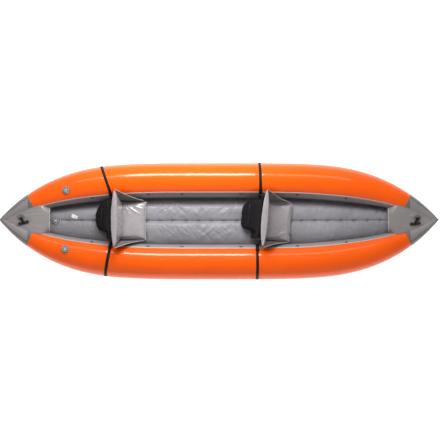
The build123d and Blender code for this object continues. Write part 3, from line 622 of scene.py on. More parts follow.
def cargo_patch(x, side):
    """A small welded patch: its top, its underside and the band between them."""
    n = 9
    S, A = net(np.linspace(x - 0.017, x + 0.017, n), np.linspace(52.5, 63.5, n))
    edge = (1 - ((S - x) / 0.017) ** 8) * (1 - ((A - 58) / 5.5) ** 8)
    top = on_tube(S, A, 0.0022 + 0.0011 * edge, side).reshape(-1, 3)
    low = on_tube(S, A, 0.0019, side).reshape(-1, 3)
    faces = quads(n, n) + [f[::-1] for f in quads(n, n, start=n * n)]
    last = n - 1
    rim = list(range(n)) + [i * n + last for i in range(1, n)]
    rim += [last * n + j for j in range(last - 1, -1, -1)] + [i * n for i in range(last - 1, 0, -1)]
    faces += [[a, b, b + n * n, a + n * n] for a, b in zip(rim, rim[-1:] + rim[:-1])]
    return np.concatenate([top, low]), faces


def cargo_strap(x, side):
    """A short strap that arches over its patch."""
    t = np.linspace(0, 1, 15)
    arch = 0.0031 + 0.0042 * np.sin(np.pi * t) ** 0.55
    path = on_tube(np.full_like(t, x), 54.4 + 7.2 * t, arch, side)
    return ribbon_mesh(path, along_tube(x, side), 0.018, 0.0014)


spots = [(x, side) for side in SIDES.values() for x in LOOP_XS]
group("cargo_loop_straps", [cargo_strap(*spot) for spot in spots], "gray_webbing", "cargo_loops")
group("cargo_loop_patches", [cargo_patch(*spot) for spot in spots], "gray_pvc")

# ---- nose cones ------------------------------------------------------------------------------------------

COVER_ANGLE = 24.0


def nose_cover(name, way):
    body_s = np.linspace(NOSE_START, REACH, 72)
    ang = np.linspace(-180, 180, 96, endpoint=False)
    S, A = net(body_s, ang)
    ring = np.exp(-(((S - NOSE_START - 0.020) / 0.007) ** 2))
    lift = 0.0026 + 0.0005 * ring + 0.0009 * fbm(S * 22, A / 22, 3, 6) * smooth(S, NOSE_START + 0.01, 1.70)
    lift = lift + 0.0007 * np.exp(-(((A - 4) / 2.0) ** 2))
    shell = on_tube(S, A, lift)
    rim = on_tube(np.full_like(ang, NOSE_START), ang, 0.0005)[None]
    out, up, fwd = tube_frame(np.array(REACH))
    caps = []
    for phi in np.radians(np.linspace(0, 90, 12)[1:]):
        r = (TIP + 0.0026) * math.cos(phi)
        a = np.radians(ang)[:, None]
        centre = tube_c(np.array(REACH)) + fwd * (TIP + 0.0026) * math.sin(phi)
        caps.append(centre + (up * np.cos(a) - out * np.sin(a)) * r)
    p = np.concatenate([rim, shell, np.stack(caps)])
    clamped = p[..., 1] <= 0
    p[..., 1] = np.maximum(p[..., 1], 0)
    nu, nv = p.shape[:2]
    flat = clamped.reshape(-1)
    half = [f for f in quads(nu, nv, wrap_v=True) if not all(flat[k] for k in f)]
    half.append(list(range(nv))[::-1])
    verts = p.reshape(-1, 3)
    other = verts * np.array([1, -1, 1])
    n = len(verts)
    faces = half + [[k + n for k in f[::-1]] for f in half]
    verts = np.concatenate([verts, other]) * np.array([way, 1, 1])
    obj = new_piece(f"{name}_nose_cover", verts, faces, MATS["gray_pvc"])
    obj.data.materials.append(MATS["deck_pvc"])
    bm = bmesh.new()
    bm.from_mesh(obj.data)
    bmesh.ops.remove_doubles(bm, verts=[v for v in bm.verts if abs(v.co.y) < 1e-5], dist=0.0006)
    bmesh.ops.recalc_face_normals(bm, faces=bm.faces)
    for face in bm.faces:
        c = face.calc_center_median()
        s = min(abs(c.x), REACH)
        middle = tube_c(s)
        lean = math.degrees(math.atan2(abs(c.y) - middle[1], c.z - middle[2]))
        face.material_index = int(-60 < lean < COVER_ANGLE and abs(c.x) > NOSE_START + 0.012)
    bm.to_mesh(obj.data)
    bm.free()
    return place(obj, "hull", "gray_pvc", f"{name}_nose_cone")


ENDS = {"bow": 1.0, "stern": -1.0}
for end, way in ENDS.items():
    nose_cover(end, way)

# ---- decks -----------------------------------------------------------------------------------------------

DECK_ANGLE = 40.0
DECK_TIP = 1.846
FOLDS = {
    "bow": [([(1.63, 0.035), (1.665, 0.024), (1.70, 0.018)], 0.013, 0.007),
            ([(1.655, 0.052), (1.675, 0.035), (1.70, 0.028)], 0.008, 0.004),
            ([(1.52, -0.05), (1.60, -0.07), (1.70, -0.055)], 0.012, 0.002),
            ([(1.55, 0.07), (1.66, 0.06), (1.77, 0.025)], 0.012, 0.0025)],
    "stern": [([(1.845, 0.0), (1.74, 0.045), (1.64, 0.085)], 0.012, 0.004),
              ([(1.76, 0.01), (1.66, 0.03), (1.58, 0.045), (1.51, 0.04)], 0.010, 0.003),
              ([(1.62, -0.05), (1.56, -0.065), (1.51, -0.07)], 0.008, 0.003),
              ([(1.66, 0.055), (1.60, 0.075), (1.55, 0.078)], 0.007, 0.0035),
              ([(1.80, -0.01), (1.70, -0.04), (1.62, -0.08)], 0.010, 0.003)],
}


def deck_height(x, y, end):
    """Height of a deck's top, with its folds."""
    z = DECK_Z + 0.0030
    for path, width, height in FOLDS[end]:
        z = z + crease(x, y, path, width, height)
    return z + 0.0012 * fbm(x * 28, y * 28, 3, 12 if end == "bow" else 16)


def deck_seam(s):
    """Angle of a deck's seam: low on the tube's inner side at the open edge."""
    return DECK_ANGLE + 42 * (1 - smooth(s, DECK_EDGE, DECK_EDGE + 0.085))


def deck_cover(end, way):
    t = np.linspace(-1, 1, 61)
    v = np.linspace(0, 1, 64)
    T, V = net(t, v)
    corner = np.clip((np.abs(T) - 0.74) / 0.26, 0, 1)
    start = DECK_EDGE + 0.040 * (1 - np.sqrt(1 - corner**2))
    S = start + (DECK_TIP - start) * V
    seam = on_tube(S, deck_seam(S), 0.0034)
    X, Y = seam[..., 0], seam[..., 1] * T
    edge = np.abs(T) ** 6
    Z = deck_height(X, Y, end) * (1 - edge) + seam[..., 2] * edge
    p = np.stack([X * way, Y, Z], -1)
    up = np.broadcast_to(UP, p.shape)
    obj = slab(f"{end}_deck_cover", p - UP * 0.0022, up, 0.0022, MATS["deck_pvc"])
    place(obj, "hull", "gray_pvc", f"{end}_deck_panel")
    rim = p[2:-2, 0].copy()
    rim[:, 2] += 0.0002
    hem = bead(f"{end}_deck_hem", rim, 0.0034, MATS["light_welt"])
    place(hem, "hull", "light_welt")
    parts = []
    for side in SIDES.values():
        s = np.linspace(DECK_EDGE + 0.12, DECK_TIP - 0.004, 60)
        wavy = 0.0035 + 0.0004 * np.sin(s * 260)
        path = on_tube(s, DECK_ANGLE - 1.5, wavy, side) * np.array([way, 1, 1])
        parts.append(bead_mesh(path, 0.0022, 8))
        s = np.linspace(NOSE_START + 0.012, REACH - 0.006, 60)
        path = on_tube(s, -COVER_ANGLE, 0.0030, side) * np.array([way, 1, 1])
        parts.append(bead_mesh(path, 0.0012, 8))
    welt = new_piece(f"{end}_deck_welts", *joined_mesh(parts), MATS["deck_pvc"])
    return place(welt, "hull", "gray_pvc")


for end, way in ENDS.items():
    deck_cover(end, way)
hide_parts("deck_edge_piping")

# ---- floor -----------------------------------------------------------------------------------------------


def flange_reach(x):
    x = np.asarray(x, float)
    out, _, t = tube_frame(x)
    plan = t[..., 0] / np.hypot(t[..., 0], t[..., 1])
    drop = AXIS - FLOOR_MID
    return tube_c(x)[..., 1] - np.sqrt(np.maximum(0, tube_r(x) ** 2 - drop**2)) / plan


def lobe(x, inset):
    """Half width, crown and seam heights of the floor at x."""
    share = (np.abs(x) / FLOOR_END) ** 4
    crown = 0.050 + (0.039 - 0.050) * share
    half_width = flange_reach(x) - 0.029 - 2 * inset
    return half_width, crown * (1 - 0.16 * share) - inset, crown - 0.016 * (1 - share) - inset


def arc(m, c, w, t):
    """Point at t of the arc through (0, m), (w / 2, c) and (w, 0)."""
    ax, ay, bx, by, cx, cy = 0 * w, m, w / 2, c, w, 0 * w
    d = 2 * (ax * (by - cy) + bx * (cy - ay) + cx * (ay - by))
    ux = ((ax**2 + ay**2) * (by - cy) + (bx**2 + by**2) * (cy - ay) + (cx**2 + cy**2) * (ay - by)) / d
    uy = ((ax**2 + ay**2) * (cx - bx) + (bx**2 + by**2) * (ax - cx) + (cx**2 + cy**2) * (bx - ax)) / d
    r = np.hypot(ax - ux, ay - uy)
    a0, a1 = np.arctan2(ay - uy, ax - ux), np.arctan2(cy - uy, cx - ux)
    a = a0 + (a1 - a0) * t
    return ux + r * np.cos(a), uy + r * np.sin(a)


def floor_grid(inset, x, cols):
    """Rings round the floor at each x: X, Y, Z and the number of points on their upper side."""
    w, c, m = (v[:, None] for v in lobe(x, inset))
    right = np.stack(arc(m, c, w, np.linspace(0, 1, cols)[None]), -1)
    left = right[:, ::-1] * np.array([-1, 1])
    top = np.concatenate([left[:, :-1], right], 1)
    bottom = top[:, ::-1][:, 1:-1] * np.array([1, -1])
    ring = np.concatenate([top, bottom], 1)
    X = np.broadcast_to(x[:, None], ring.shape[:2])
    return X, ring[..., 0], FLOOR_MID + climb(X) + ring[..., 1], 2 * cols - 1


def floor_creases():
    """Creases of the floor: crossing diagonals between the seats and short ones ahead and behind."""
    rng = np.random.default_rng(21)
    lines = []
    for x0, x1, count, slant, size in ((-0.60, 0.18, 74, 1.15, 0.0046), (0.66, 1.48, 50, 0.45, 0.0036),
                                       (-1.38, -1.05, 12, 0.4, 0.0022)):
        for i in range(count):
            x = rng.uniform(x0, x1)
            side = rng.choice([-1, 1])
            y = side * rng.uniform(0.02, 0.09)
            length = rng.uniform(0.05, 0.13)
            lean = slant * rng.choice([-1, 1], p=[0.3, 0.7]) * rng.uniform(0.5, 1.2)
            bend = rng.uniform(-0.012, 0.012)
            path = [(x, y), (x + lean * length * 0.5 + bend, y + side * length * 0.5),
                    (x + lean * length, y + side * length)]
            width = rng.uniform(0.004, 0.009)
            lines.append((path, width, size * rng.uniform(0.5, 1.2) * rng.choice([-1, 1])))
    return lines


def floor_cover():
    origin, _, _, axis = valve_frame("floor")
    X, Y, Z, top = floor_grid(0.0, stations(FLOOR_END, 400, origin[0], 0.04, 0.0045), 34)
    mask = np.zeros(X.shape)
    mask[:, :top] = 1.0
    w = lobe(X, 0.0)[0]
    inside = 1 - smooth(np.abs(Y) / w, 0.86, 0.99)
    away = smooth(np.hypot(X - origin[0], Y), 0.035, 0.06)
    calm = inside * away * mask
    d = 0.0
    for path, width, height in floor_creases():
        near = (X > min(q[0] for q in path) - 0.04) & (X < max(q[0] for q in path) + 0.04)
        bump = np.zeros(X.shape)
        bump[near] = crease(X[near], Y[near], path, width, height)
        d = d + bump
    d = d + 0.0022 * fbm(X * 14, Y * 22, 4, 2)
    ripple = np.sin(2 * np.pi * (X / 0.042 + 0.5 * vnoise(X * 6, Y * 6, 9)))
    d = d + 0.0010 * ripple * np.exp(-((np.abs(Y) / w - 0.12) / 0.16) ** 2)
    valley = np.exp(-((Y / 0.011) ** 2))
    pucker = np.exp(-((((X + 3) % 0.115) - 0.0575) / 0.016) ** 2)
    d = d * (1 - 0.7 * valley) - valley * (0.0060 + 0.0110 * pucker)
    Z = Z + d * calm
    hem = np.exp(-(((Y / w) ** 2 - 1) / 0.02) ** 2)
    Z = Z + 0.0008 * np.sin(X * 190) * hem * np.where(mask > 0, 1, -1) * 0.4
    faces = tube_faces(*X.shape)
    obj = new_piece("floor_cover", np.stack([X, Y, Z], -1).reshape(-1, 3), faces, MATS["floor_fabric"])
    pierce(obj, origin, axis, VALVE_HOLE)
    place(obj, "hull", "floor_fabric", "floor_sleeve")
    X, Y, Z, _ = floor_grid(0.013, np.linspace(-FLOOR_END + 0.02, FLOOR_END - 0.02, 120), 14)
    dip = 0.013 * np.exp(-((Y / 0.022) ** 2)) * (Z > FLOOR_MID + climb(X))
    Z = Z + 0.001 * fbm(X * 9, Y * 9, 3, 7) - dip
    faces = tube_faces(*X.shape)
    cell = new_piece("floor_bladder", np.stack([X, Y, Z], -1).reshape(-1, 3), faces, MATS["bladder_film"])
    pierce(cell, origin, axis, 0.036)
    place(cell, "hull", "bladder_film", "floor_air_cell")


floor_cover()

GROMMETS = [-1.351 + i * 0.193 for i in range(15)]
GROMMETS = [x for x in GROMMETS if all(abs(x - at) > 0.075 for at, _ in STRAPS.values())]
SLOTS = [x + 0.0965 for x in GROMMETS[:-1]]


def flange_cover(side_name, side):
    rows = np.linspace(-1.518, 1.518, 440)
    low, high = lobe(rows, 0.0)[0] - 0.001, flange_reach(rows) - 0.0012
    k = np.array([0, 0.14, 0.3, 0.42, 0.56, 0.70, 0.82, 0.92, 1.0])
    Y = low[:, None] + (high - low)[:, None] * k[None]
    X = np.broadcast_to(rows[:, None], Y.shape)
    Z = FLOOR_MID + climb(X) - 0.001 + 0.0016 * fbm(X * 20, Y * 20, 2, 5) * np.sin(np.pi * k)[None]
    keep = np.ones((len(rows) - 1, len(k) - 1), bool)
    mid = (rows[1:] + rows[:-1]) / 2
    for x in SLOTS:
        keep[np.ix_(np.abs(mid - x) < 0.042, [3, 4, 5])] = False
    for x in GROMMETS:
        keep[np.ix_(np.abs(mid - x) < 0.0052, [2, 3, 4])] = False
    for x, slant in STRAPS.values():
        foot = x + math.sin(math.radians(slant)) * (OFFSET - float(flange_reach(x)))
        keep[np.abs(mid - foot) < 0.031, 5:] = False
    p = np.stack([X, Y * side, Z], -1)
    obj = slab(f"{side_name}_flange_cover", p, np.broadcast_to(UP, p.shape), 0.002,
               MATS["floor_fabric"], keep)
    return place(obj, "hull", "floor_fabric", f"{side_name}_floor_flange")


for side_name, side in SIDES.items():
    flange_cover(side_name, side)

EYELET = np.array([(0.0040, -0.0018), (0.0044, -0.0024), (0.0060, -0.0026), (0.0071, -0.0020),
                   (0.0074, -0.0013), (0.0060, -0.0011), (0.0050, 0.0), (0.0060, 0.0011),
                   (0.0074, 0.0013), (0.0071, 0.0020), (0.0060, 0.0026), (0.0044, 0.0024),
                   (0.0040, 0.0018)])


def eyelet_ring(x, side):
    """A rolled metal ring through the flange."""
    y = float(lobe(np.array(x), 0.0)[0]) + 0.0145
    slope = float((climb(x + 0.001) - climb(x - 0.001)) / 0.002)
    up = np.array([-slope, 0, 1]) / math.hypot(slope, 1)
    forward = np.array([1, 0, slope]) / math.hypot(slope, 1)
    a = np.linspace(0, 2 * np.pi, 28, endpoint=False)
    centre = np.array([x, y * side, FLOOR_MID + float(climb(x))])
    around = np.cos(a)[None, :, None] * forward + np.sin(a)[None, :, None] * np.array([0, 1, 0])
    p = centre + EYELET[:, :1, None] * around + EYELET[:, 1:, None] * up
    return p.reshape(-1, 3), quads(len(EYELET), len(a), wrap_u=True, wrap_v=True)


rings = [eyelet_ring(x, side) for side in SIDES.values() for x in GROMMETS]
group("eyelet_rings", rings, "eyelet_metal", "flange_grommets")


def care_tag():
    """A blank care tag, sewn beside the floor's seam."""
    u, v = net(np.linspace(-0.028, 0.028, 15), np.linspace(-0.016, 0.016, 9))
    turn = math.radians(-22)
    x = -1.272 + u * math.cos(turn) - v * math.sin(turn)
    y = 0.036 + u * math.sin(turn) + v * math.cos(turn)
    _, crown, seam = (float(h.mean()) for h in lobe(x, 0.0))
    base = FLOOR_MID + climb(x)
    base = base + np.interp(np.abs(y), [0, 0.05, 0.1], [seam, seam + 0.008, crown + 0.002])
    z = base + 0.004 + 0.004 * (u / 0.028) ** 2 + 0.0015 * np.sin(u * 120) * np.cos(v * 90)
    tag = np.stack([x, y, z], -1)
    obj = slab("care_tag", tag, np.broadcast_to(UP, tag.shape), 0.0006, MATS["tag_cloth"])
    place(obj, "hull", "gray_webbing")


care_tag()

# ---- valves ----------------------------------------------------------------------------------------------


CAP_SIDE = [(0.0282, 0.0088), (0.0290, 0.0076), (0.0290, 0.0050), (0.0284, 0.0043), (0.0180, 0.0043),
            (0.0177, 0.0040), (0.0175, 0.0006), (0.0170, 0.0003), (0.0158, 0.0003), (0.0155, 0.0043),
            (0.0004, 0.0045)]
KNUCKLE = [(0.0001, -0.0040), (0.0022, -0.0040), (0.0024, -0.0037), (0.0024, 0.0037), (0.0022, 0.0040),
           (0.0001, 0.0040)]
HINGE_ROD = [(0.0001, -0.0080), (0.0012, -0.0080), (0.0014, -0.0078), (0.0014, 0.0078), (0.0012, 0.0080),
             (0.0001, 0.0080)]


def star_cap(name, origin, x, y, z, inboard):
    """A cap with a five-lobed star on top, a notched rim, a skirt and a hinge knuckle."""
    count = 180
    a = np.linspace(0, 2 * np.pi, count, endpoint=False)
    lobes = 0.5 + 0.5 * np.cos(5 * a)
    star_r = 0.0105 + 0.0120 * lobes**1.6
    rows = []
    for r in np.concatenate([np.linspace(0.0004, 0.0245, 26), [0.0258, 0.0268]]):
        raised = 1 - smooth(r, star_r - 0.0009, star_r + 0.0013)
        hollow = 0.0012 * np.exp(-((r / 0.0045) ** 2))
        rim = 0.0014 * smooth(r, 0.0238, 0.0246)
        rows.append((np.full(count, r), 0.0082 + 0.0046 * raised - hollow + rim))
    rows += [(np.full(count, r), np.full(count, h)) for r, h in CAP_SIDE]
    pts = []
    for r, h in rows:
        r = np.where(r > 0.0270, r - 0.0009 * (np.cos(36 * a) > 0.2), r)
        pts.append(origin + (r * np.cos(a))[:, None] * x + (r * np.sin(a))[:, None] * y + h[:, None] * z)
    shell = (np.stack(pts).reshape(-1, 3), tube_faces(len(rows), count))
    pin = origin + y * inboard * PIN_OUT + z * PIN_UP
    knuckle = turned_mesh(KNUCKLE, pin, y, z, x, 24)
    rod = turned_mesh(HINGE_ROD, pin, y, z, x, 20)
    tab = box_mesh(pin - y * inboard * 0.0022, y, x, z, 0.0040, 0.0078, 0.0024)
    obj = new_piece(f"{name}_star_cap", *joined_mesh([shell, knuckle, rod, tab]), MATS["cap_plastic"])
    obj.data.materials.append(MATS["cap_recess"])
    for face in obj.data.polygons:
        d = np.array(face.center) - origin
        if 0.0060 < d @ z < 0.0092 and np.linalg.norm(d - z * (d @ z)) < 0.0240:
            face.material_index = 1
    edge = obj.modifiers.new("Edge", "EDGE_SPLIT")
    edge.split_angle = math.radians(50)
    return place(obj, f"{name}_cap", "cap_plastic", f"{name}_valve_cap")


def valve_ribs(name, o, x, y, z, inboard):
    """Small ribs round the valve's rim, left out at the hinge."""
    ribs = []
    hinge = math.pi * (0.5 if inboard > 0 else 1.5)
    for k in range(24):
        a = 2 * math.pi * k / 24 + 0.13
        radial = x * math.cos(a) + y * math.sin(a)
        across = -x * math.sin(a) + y * math.cos(a)
        if abs(a % (2 * math.pi) - hinge) > 0.35:
            centre = o + radial * 0.0311 + z * 0.0040
            ribs.append(box_mesh(centre, across, radial, z, 0.0016, 0.0028, 0.0012))
    group(f"{name}_valve_ribs", ribs, "valve_plastic", shade=False)


def valve_collar(name, o, z):
    """A ring of fabric welded round a valve."""
    r = np.linspace(0.0325, 0.046, 6)
    R, A = net(r, np.linspace(0, 2 * np.pi, 72, endpoint=False))
    if name == "floor":
        slot = "floor_fabric"
        p = np.stack([o[0] + R * np.cos(A), R * np.sin(A), np.zeros_like(R)], -1)
        tree = BVHTree.FromObject(bpy.data.objects["floor_cover"], bpy.context.evaluated_depsgraph_get())
        for at in np.ndindex(R.shape):
            hit = tree.ray_cast(Vector((p[at][0], p[at][1], 0.4)), Vector((0, 0, -1)))[0]
            p[at][2] = (hit.z if hit is not None else float(o[2])) + 0.0004
        normal = np.broadcast_to(z, p.shape)
    else:
        slot, side = "orange_pvc", SIDES[name]
        s0, a0 = -1.335, 8.0
        S = s0 + R * np.cos(A) * 0.97 + (o[0] - float(on_tube(s0, a0, 0, side)[0]))
        turned = a0 + np.degrees(R * np.sin(A) / float(tube_r(s0)))
        p, normal = on_tube(S, turned, 0.0006, side), tube_out(S, turned, side)
    thick = 0.0010 * (1 - 0.5 * (R - r[0]) / (r[-1] - r[0]))
    place(slab(f"{name}_valve_collar", p, normal, thick, MATS[slot], wrap_v=True), "hull", slot)


for name in ("port", "starboard", "floor"):
    o, x, y, z = valve_frame(name)
    inboard = 1 if name == "starboard" else -1
    star_cap(name, o, x, y, z, inboard)
    valve_ribs(name, o, x, y, z, inboard)
    valve_collar(name, o, z)

# ---- seats -----------------------------------------------------------------------------------------------

LEAN = math.radians(6.0)
HALF = 0.170
FLARE = 0.090
BACK_TOP = 0.236
DROP = 0.0278


def seat_frame(seat):
    j = joints[f"{seat}_back_fold"]
    y = np.array(j["axis"])
    y /= np.linalg.norm(y)
    x = np.cross(y, UP)
    return np.array(j["pos_m"]), x, y


def seat_world(seat, p):
    o, x, y = seat_frame(seat)
    p = np.asarray(p, float)
    return o + p[..., :1] * x + p[..., 1:2] * y + p[..., 2:] * UP


def back_local(u, v, w):
    """Backrest coordinates, to port, up and forward, as seat coordinates."""
    u, v, w = np.broadcast_arrays(u, v, w)
    forward, up = w * math.cos(LEAN) - v * math.sin(LEAN), v * math.cos(LEAN) + w * math.sin(LEAN)
    return np.stack([forward, u, up], -1)


def inflate(obj, cap, pressure=4.0, voxel=0.006, frames=18):
    """Blows a padded piece up as cloth, so that its fabric puckers."""
    mod = obj.modifiers.new("Remesh", "REMESH")
    mod.mode, mod.voxel_size = "VOXEL", voxel
    deps = bpy.context.evaluated_depsgraph_get()
    mesh = bpy.data.meshes.new_from_object(obj.evaluated_get(deps))
    mat = obj.data.materials[0]
    obj.modifiers.remove(mod)
    obj.data = mesh
    if not mesh.materials:
        mesh.materials.append(mat)
    rest = np.array([v.co for v in mesh.vertices])
    cloth = obj.modifiers.new("Cloth", "CLOTH")
    st = cloth.settings
    st.quality, st.mass = 5, 0.25
    st.tension_stiffness, st.compression_stiffness, st.shear_stiffness = 25, 25, 8
    st.bending_stiffness = 0.35
    st.use_pressure, st.uniform_pressure_force = True, pressure
    st.shrink_min = -0.03
    st.effector_weights.gravity = 0.0
    cloth.point_cache.frame_start, cloth.point_cache.frame_end = 1, frames
    for f in range(1, frames + 1):
        scene.frame_set(f)
    deps = bpy.context.evaluated_depsgraph_get()
    moved = np.array([v.co for v in obj.evaluated_get(deps).data.vertices])
    obj.modifiers.remove(cloth)
    scene.frame_set(1)
    step = moved - rest
    size = np.linalg.norm(step, axis=1, keepdims=True)
    step = step * np.minimum(1.0, cap / np.maximum(size, 1e-9))
    obj.data.vertices.foreach_set("co", (rest + step).astype(np.float32).ravel())
    obj.data.shade_smooth()
    obj.data.update()


def soften(obj, levels=1):
    mod = obj.modifiers.new("Soft", "SUBSURF")
    mod.levels = mod.render_levels = levels


def snap(obj, points, out):
    """Moves points onto a piece's surface, then a little way outwards."""
    tree = BVHTree.FromObject(obj, bpy.context.evaluated_depsgraph_get())
    result = []
    for p in points:
        at, normal = tree.find_nearest(Vector(p))[:2]
        result.append(np.array(at + normal * out))
    return np.array(result)


def sculpt(obj, seat, folds, grain, seed):
    """Raises folds on the top of a seat cushion; folds are in seat coordinates."""
    o, x, y = seat_frame(seat)
    mesh = obj.data
    co = np.array([v.co for v in mesh.vertices])
    no = np.array([v.normal for v in mesh.vertices])
    d = co - o
    lx, ly = d @ x, d @ y
    up = smooth(no[:, 2], 0.35, 0.8)
    h = grain * fbm(lx * 24, ly * 24, 3, seed)
    for path, width, height in folds:
        h = h + crease(lx, ly, path, width, height)
    co = co + no * (h * up)[:, None]
    mesh.vertices.foreach_set("co", co.astype(np.float32).ravel())
    mesh.update()


def cushion_mesh():
    n = 49
    t = np.linspace(-1, 1, n)
    p = np.sin(t * math.pi / 2)
    P, Q = net(p, p)
    body = (1 - np.abs(P) ** 5) ** 0.42 * (1 - np.abs(Q) ** 5) ** 0.42
    mid_x = -0.067 + 0.145
    pull_x = 1 - 0.022 * np.cos(Q * math.pi / 2) ** 2
    pull_y = 1 - 0.030 * np.cos(P * math.pi / 2) ** 2
    X = mid_x + P * 0.1445 * pull_x
    Y = Q * (HALF - 0.001) * pull_y
    top = np.stack([X, Y, -DROP - 0.030 + 0.026 * body], -1)
    bottom = np.stack([X, Y, -DROP - 0.030 - 0.0275 * body], -1)
    verts = np.concatenate([top.reshape(-1, 3), bottom.reshape(-1, 3)])
    faces = quads(n, n) + [f[::-1] for f in quads(n, n, start=n * n)]
    rim = [(i, 0) for i in range(n)] + [(n - 1, j) for j in range(1, n)]
    rim += [(i, n - 1) for i in range(n - 2, -1, -1)] + [(0, j) for j in range(n - 2, 0, -1)]
    loop = top[[r[0] for r in rim], [r[1] for r in rim]]
    return verts, faces, loop


def back_width(v):
    w = HALF - 0.005 + FLARE * (v + 0.025) / (BACK_TOP + 0.025)
    over = np.clip((v - (BACK_TOP - 0.030)) / 0.030, 0, 1)
    under = np.clip((0.005 - v) / 0.030, 0, 1)
    return w - 0.022 * (1 - np.sqrt(1 - over**2)) - 0.020 * (1 - np.sqrt(1 - under**2))


def backrest_mesh():
    n = 45
    a = np.sin(np.linspace(-1, 1, n) * math.pi / 2)
    rows = []
    for v in np.linspace(-0.0245, BACK_TOP - 0.002, 40):
        w = back_width(v)
        mid = 1 + 0.10 * math.sin(math.pi * (v + 0.025) / 0.26)
        front = 0.0205 * mid * (1 - np.abs(a) ** 3.2)
        rear = -0.0250 * mid * (1 - np.abs(a) ** 2.1)
        ring_u = np.concatenate([a * w, (a * w)[::-1][1:-1]])
        ring_w = np.concatenate([front, rear[::-1][1:-1]])
        rows.append((ring_u, v, ring_w))
    first, last = rows[0], rows[-1]
    under = [(first[0], first[1] - 0.003 * (1 - f * f), first[2] * f) for f in (0.02, 0.4, 0.75, 0.93)]
    over = [(last[0], last[1] + 0.006 * (1 - f * f), last[2] * f) for f in (0.93, 0.75, 0.4, 0.02)]
    all_rows = under + rows + over
    pts = np.stack([back_local(u, v, w) for u, v, w in all_rows])
    faces = tube_faces(*pts.shape[:2])
    top = pts[len(under) + len(rows) - 1]
    side = pts[len(under):len(under) + len(rows)]
    seams = (top[:n], np.concatenate([top[n - 1:], top[:1]]), side[:, 0], side[:, n - 1])
    return pts.reshape(-1, 3), faces, seams


PAN_FOLDS = {
    "rear": [([(0.02, 0.115), (0.06, 0.10), (0.075, 0.06), (0.055, 0.01), (0.03, -0.02)], 0.009, 0.0070),
             ([(0.07, 0.12), (0.12, 0.085), (0.19, 0.045)], 0.007, 0.0050),
             ([(0.11, 0.14), (0.16, 0.11), (0.21, 0.10)], 0.008, 0.0035),
             ([(0.15, -0.15), (0.19, -0.12), (0.21, -0.09)], 0.008, 0.0040),
             ([(0.01, 0.05), (0.02, 0.0), (0.015, -0.06)], 0.008, -0.0030),
             ([(0.02, -0.14), (0.05, -0.11), (0.06, -0.06)], 0.009, 0.0030)],
    "front": [([(0.10, -0.14), (0.14, -0.11), (0.20, -0.075)], 0.010, 0.0070),
              ([(0.02, 0.10), (0.035, 0.03), (0.03, -0.05)], 0.010, 0.0030),
              ([(0.12, 0.13), (0.17, 0.10), (0.21, 0.04)], 0.012, 0.0035),
              ([(0.04, 0.15), (0.09, 0.13), (0.12, 0.09)], 0.008, 0.0030)],
}


def pouch_section(depth, shrink):
    """Closed outline of the bag behind the backrest, in seat coordinates x and z."""
    back = -0.0275 - 0.0025
    lean = -math.sin(LEAN) * 0.190
    top = 0.190 * (1 - 0.12 * shrink)
    return [(back + lean - 0.002, top), (back - 0.002 - 0.006, 0.08), (back - 0.004, -0.010),
            (-0.074, -0.022), (-0.088, -0.066 + 0.01 * shrink),
            (-0.14 if depth > 0.15 else -0.10, -0.069 + 0.01 * shrink),
            (back - depth + 0.012, -0.062 + 0.015 * shrink), (back - depth, -0.030),
            (back - depth + 0.016, 0.004), (back - depth * 0.52, 0.075), (back + lean - 0.035, 0.160),
            (back + lean - 0.016, top + 0.002)]


def round_loop(points, times=3):
    p = np.asarray(points, float)
    for _ in range(times):
        nxt = np.roll(p, -1, axis=0)
        p = np.stack([p * 0.75 + nxt * 0.25, p * 0.25 + nxt * 0.75], 1).reshape(-1, p.shape[1])
    return p


BOUND_RING = 44


